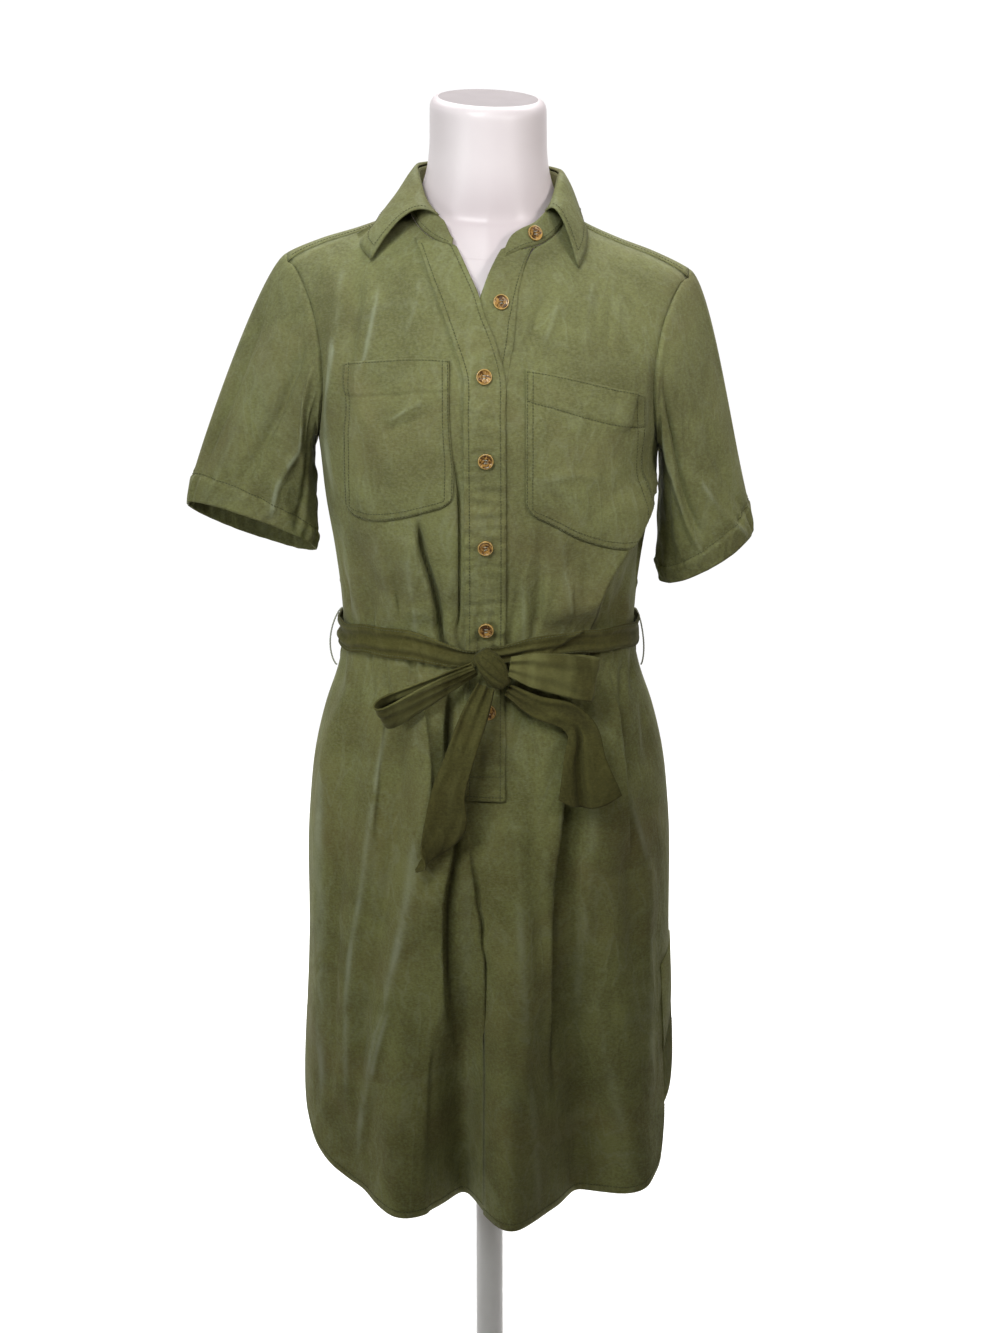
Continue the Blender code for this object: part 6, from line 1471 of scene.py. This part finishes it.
def add_button(number, seat, normal):
    """A disc from its profile, pitted at four holes 2.6 mm apart, with two bars of thread across them."""
    normal = unit(np.array(normal))
    side = unit(np.cross(normal, (0, 0, 1.0)))
    up = np.cross(side, normal)
    place, turn = np.linspace(0, 1, BUTTON_ROWS), once_round(BUTTON_AROUND)
    share, height = (np.interp(place, np.linspace(0, 1, len(BUTTON_PROFILE)), column)
                     for column in np.transpose(BUTTON_PROFILE))
    x, y = (BUTTON_RADIUS * share[:, None] * f(turn) for f in (np.cos, np.sin))
    hole = np.hypot(np.abs(x) - HOLE_OUT, np.abs(y) - HOLE_OUT)
    height = height[:, None] - HOLE_DEEP * ease((HOLE_RADIUS - hole) / 0.0003) * (place[:, None] > 0.75)
    rings = seat + x[..., None] * side + y[..., None] * up + height[..., None] * normal
    made = add_tube(f"button_{number}_resin", rings, tortoiseshell)
    # painted highlight: the rim is painted pale gold all round
    rim = np.exp(-((share - 0.92) / 0.06) ** 2)[:, None] * (place > 0.3)[:, None] + 0 * turn
    wear_and_painted_light = made.data.attributes.new("rim", "FLOAT", "POINT")
    wear_and_painted_light.data.foreach_set("value", np.append(rim.reshape(-1), (0, 0)))
    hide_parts(f"button_{number}")
    across = np.linspace(-1, 1, 15)
    circle = BAR_RADIUS * (np.cos(turn[::7])[:, None] * up + np.sin(turn[::7])[:, None] * normal)
    for k, row in ((1, -HOLE_OUT), (2, HOLE_OUT)):
        line = (seat + row * up + (BAR_HALF * across)[:, None] * side
                + (BAR_SEAT + BAR_RISE * (1 - across ** 4))[:, None] * normal)
        bar = add_tube(f"button_{number}_thread_{k}", line[:, None] + circle, sewing_thread)


for number, x, z, off in BUTTONS:       # each lies square on the cloth within 4 mm of its middle
    step = 0.004 * np.array(((0, 0), (0, 1), (0, -1), (1, 0), (-1, 0)))
    points = drop_shoulders(panel_point(x + step[:, 0], z + step[:, 1], True, off)[0])
    add_button(number, points[0], np.cross(points[3] - points[4], points[1] - points[2]))
# The top one sits on the collar stand, near its end at +X.
foot, head = stand_lines(np.array([0.93]))
across = np.diff(stand_lines(np.array([0.96, 0.90]))[0], axis=0)[0]
normal = unit(np.cross(across, head[0] - foot[0]))
add_button(1, drop_shoulders((foot[0] + head[0]) / 2) + normal * SEAM_GAP, normal)


# ---------------------------------------------------------------- floor, light and camera
# A pale painted studio floor, five small soft boxes in front of the dress and above it, a large one
# over the floor behind, a pale room, and the camera at 1.54 m, which looks down by 15.4 degrees.

FLOOR_RADIUS, FLOOR_UNDER = 2.6, 0.0002     # it lies a hair under the plate
COOL, WARM = (0.95, 1.0, 0.99), (1.0, 0.97, 0.94)

floor_paint, tree, shader = new_material("pale_floor_paint")
plug(tree, shader, {"Base Color": linear("#f4f4f4"), "Roughness": 0.9})
floor = turned("studio_floor", ((FLOOR_RADIUS, -0.02), (FLOOR_RADIUS, -FLOOR_UNDER), (0.4, -FLOOR_UNDER)),
               96, floor_paint)


def add_light(name, place, aim, size, power, spread, tint=(1, 1, 1)):
    """A square soft box at a place, aimed at a point."""
    light = bpy.data.lights.new(name, "AREA")
    light.size, light.energy, light.spread, light.color = size, power, spread, tint
    made = bpy.data.objects.new(name, light)
    bpy.context.scene.collection.objects.link(made)
    made.location = place
    made.rotation_euler = Vector(np.array(place) - np.array(aim)).to_track_quat("Z", "Y").to_euler()


add_light("key_box", (-0.45, -1.10, 2.00), (0.02, -0.10, 1.20), 0.55, 1.72, 1.05, COOL)
add_light("top_box", (0.0, -0.75, 2.10), (0.0, -0.10, 1.20), 0.45, 0.30, 1.65, COOL)
add_light("front_box", (0.10, -1.90, 2.00), (0.04, -0.10, 1.30), 0.45, 0.25, 0.75, COOL)
add_light("side_box", (-1.10, -1.00, 1.20), (-0.10, -0.10, 0.80), 0.40, 0.95, 1.2, COOL)
add_light("far_side_box", (1.00, -1.00, 1.70), (0.16, -0.10, 1.25), 0.40, 0.60, 0.80, WARM)
add_light("floor_box", (0.0, 1.9, 2.6), (0.0, 1.8, 0.0), 3.0, 105.0, 2.0)

# The room lights the dress dimly and warmly from the front and brightly from low down behind, and
# is seen as a pale backdrop that greys a little upward.
WHITE_WALL = (1.03, 1.03, 1.03, 1)
studio = bpy.data.worlds.new("studio")
bpy.context.scene.world = studio
studio.use_nodes = True
tree = studio.node_tree
direction = put(tree, "TexCoord").outputs["Generated"]
split = put(tree, "SeparateXYZ", {0: direction})
behind = put(tree, "MapRange", {"Value": split.outputs["Y"], "From Min": 0.3, "From Max": 0.8})
low = put(tree, "MapRange", {"Value": split.outputs["Z"], "From Min": 0.02, "From Max": 0.30, "To Min": 1.0,
                             "To Max": 0.0})
both = put(tree, "Math", {0: behind, 1: low}, operation="MULTIPLY")
room = put(tree, "Mix", {0: both, 6: (0.050, 0.042, 0.029, 1), 7: WHITE_WALL}, data_type="RGBA")
upward = put(tree, "MapRange", {"Value": split.outputs["Z"], "From Max": 0.45})
backdrop = put(tree, "Mix", {0: upward, 6: WHITE_WALL, 7: (0.50, 0.50, 0.49, 1)}, data_type="RGBA")
seen = put(tree, "LightPath").outputs["Is Camera Ray"]
shown = put(tree, "Mix", {0: seen, 6: room, 7: backdrop}, data_type="RGBA")
plug(tree, tree.nodes["Background"], {"Color": shown})

bpy.context.scene.view_settings.view_transform = "Standard"
camera = bpy.data.objects.new("camera", bpy.data.cameras.new("camera"))
bpy.context.scene.collection.objects.link(camera)
camera.data.sensor_fit = "VERTICAL"
camera.data.sensor_height, camera.data.lens = 36.0, 68.03
camera.location = (0.011, -2.4, 1.54)
camera.rotation_euler = (np.radians(90 - 15.4), 0, 0)
bpy.context.scene.camera = camera
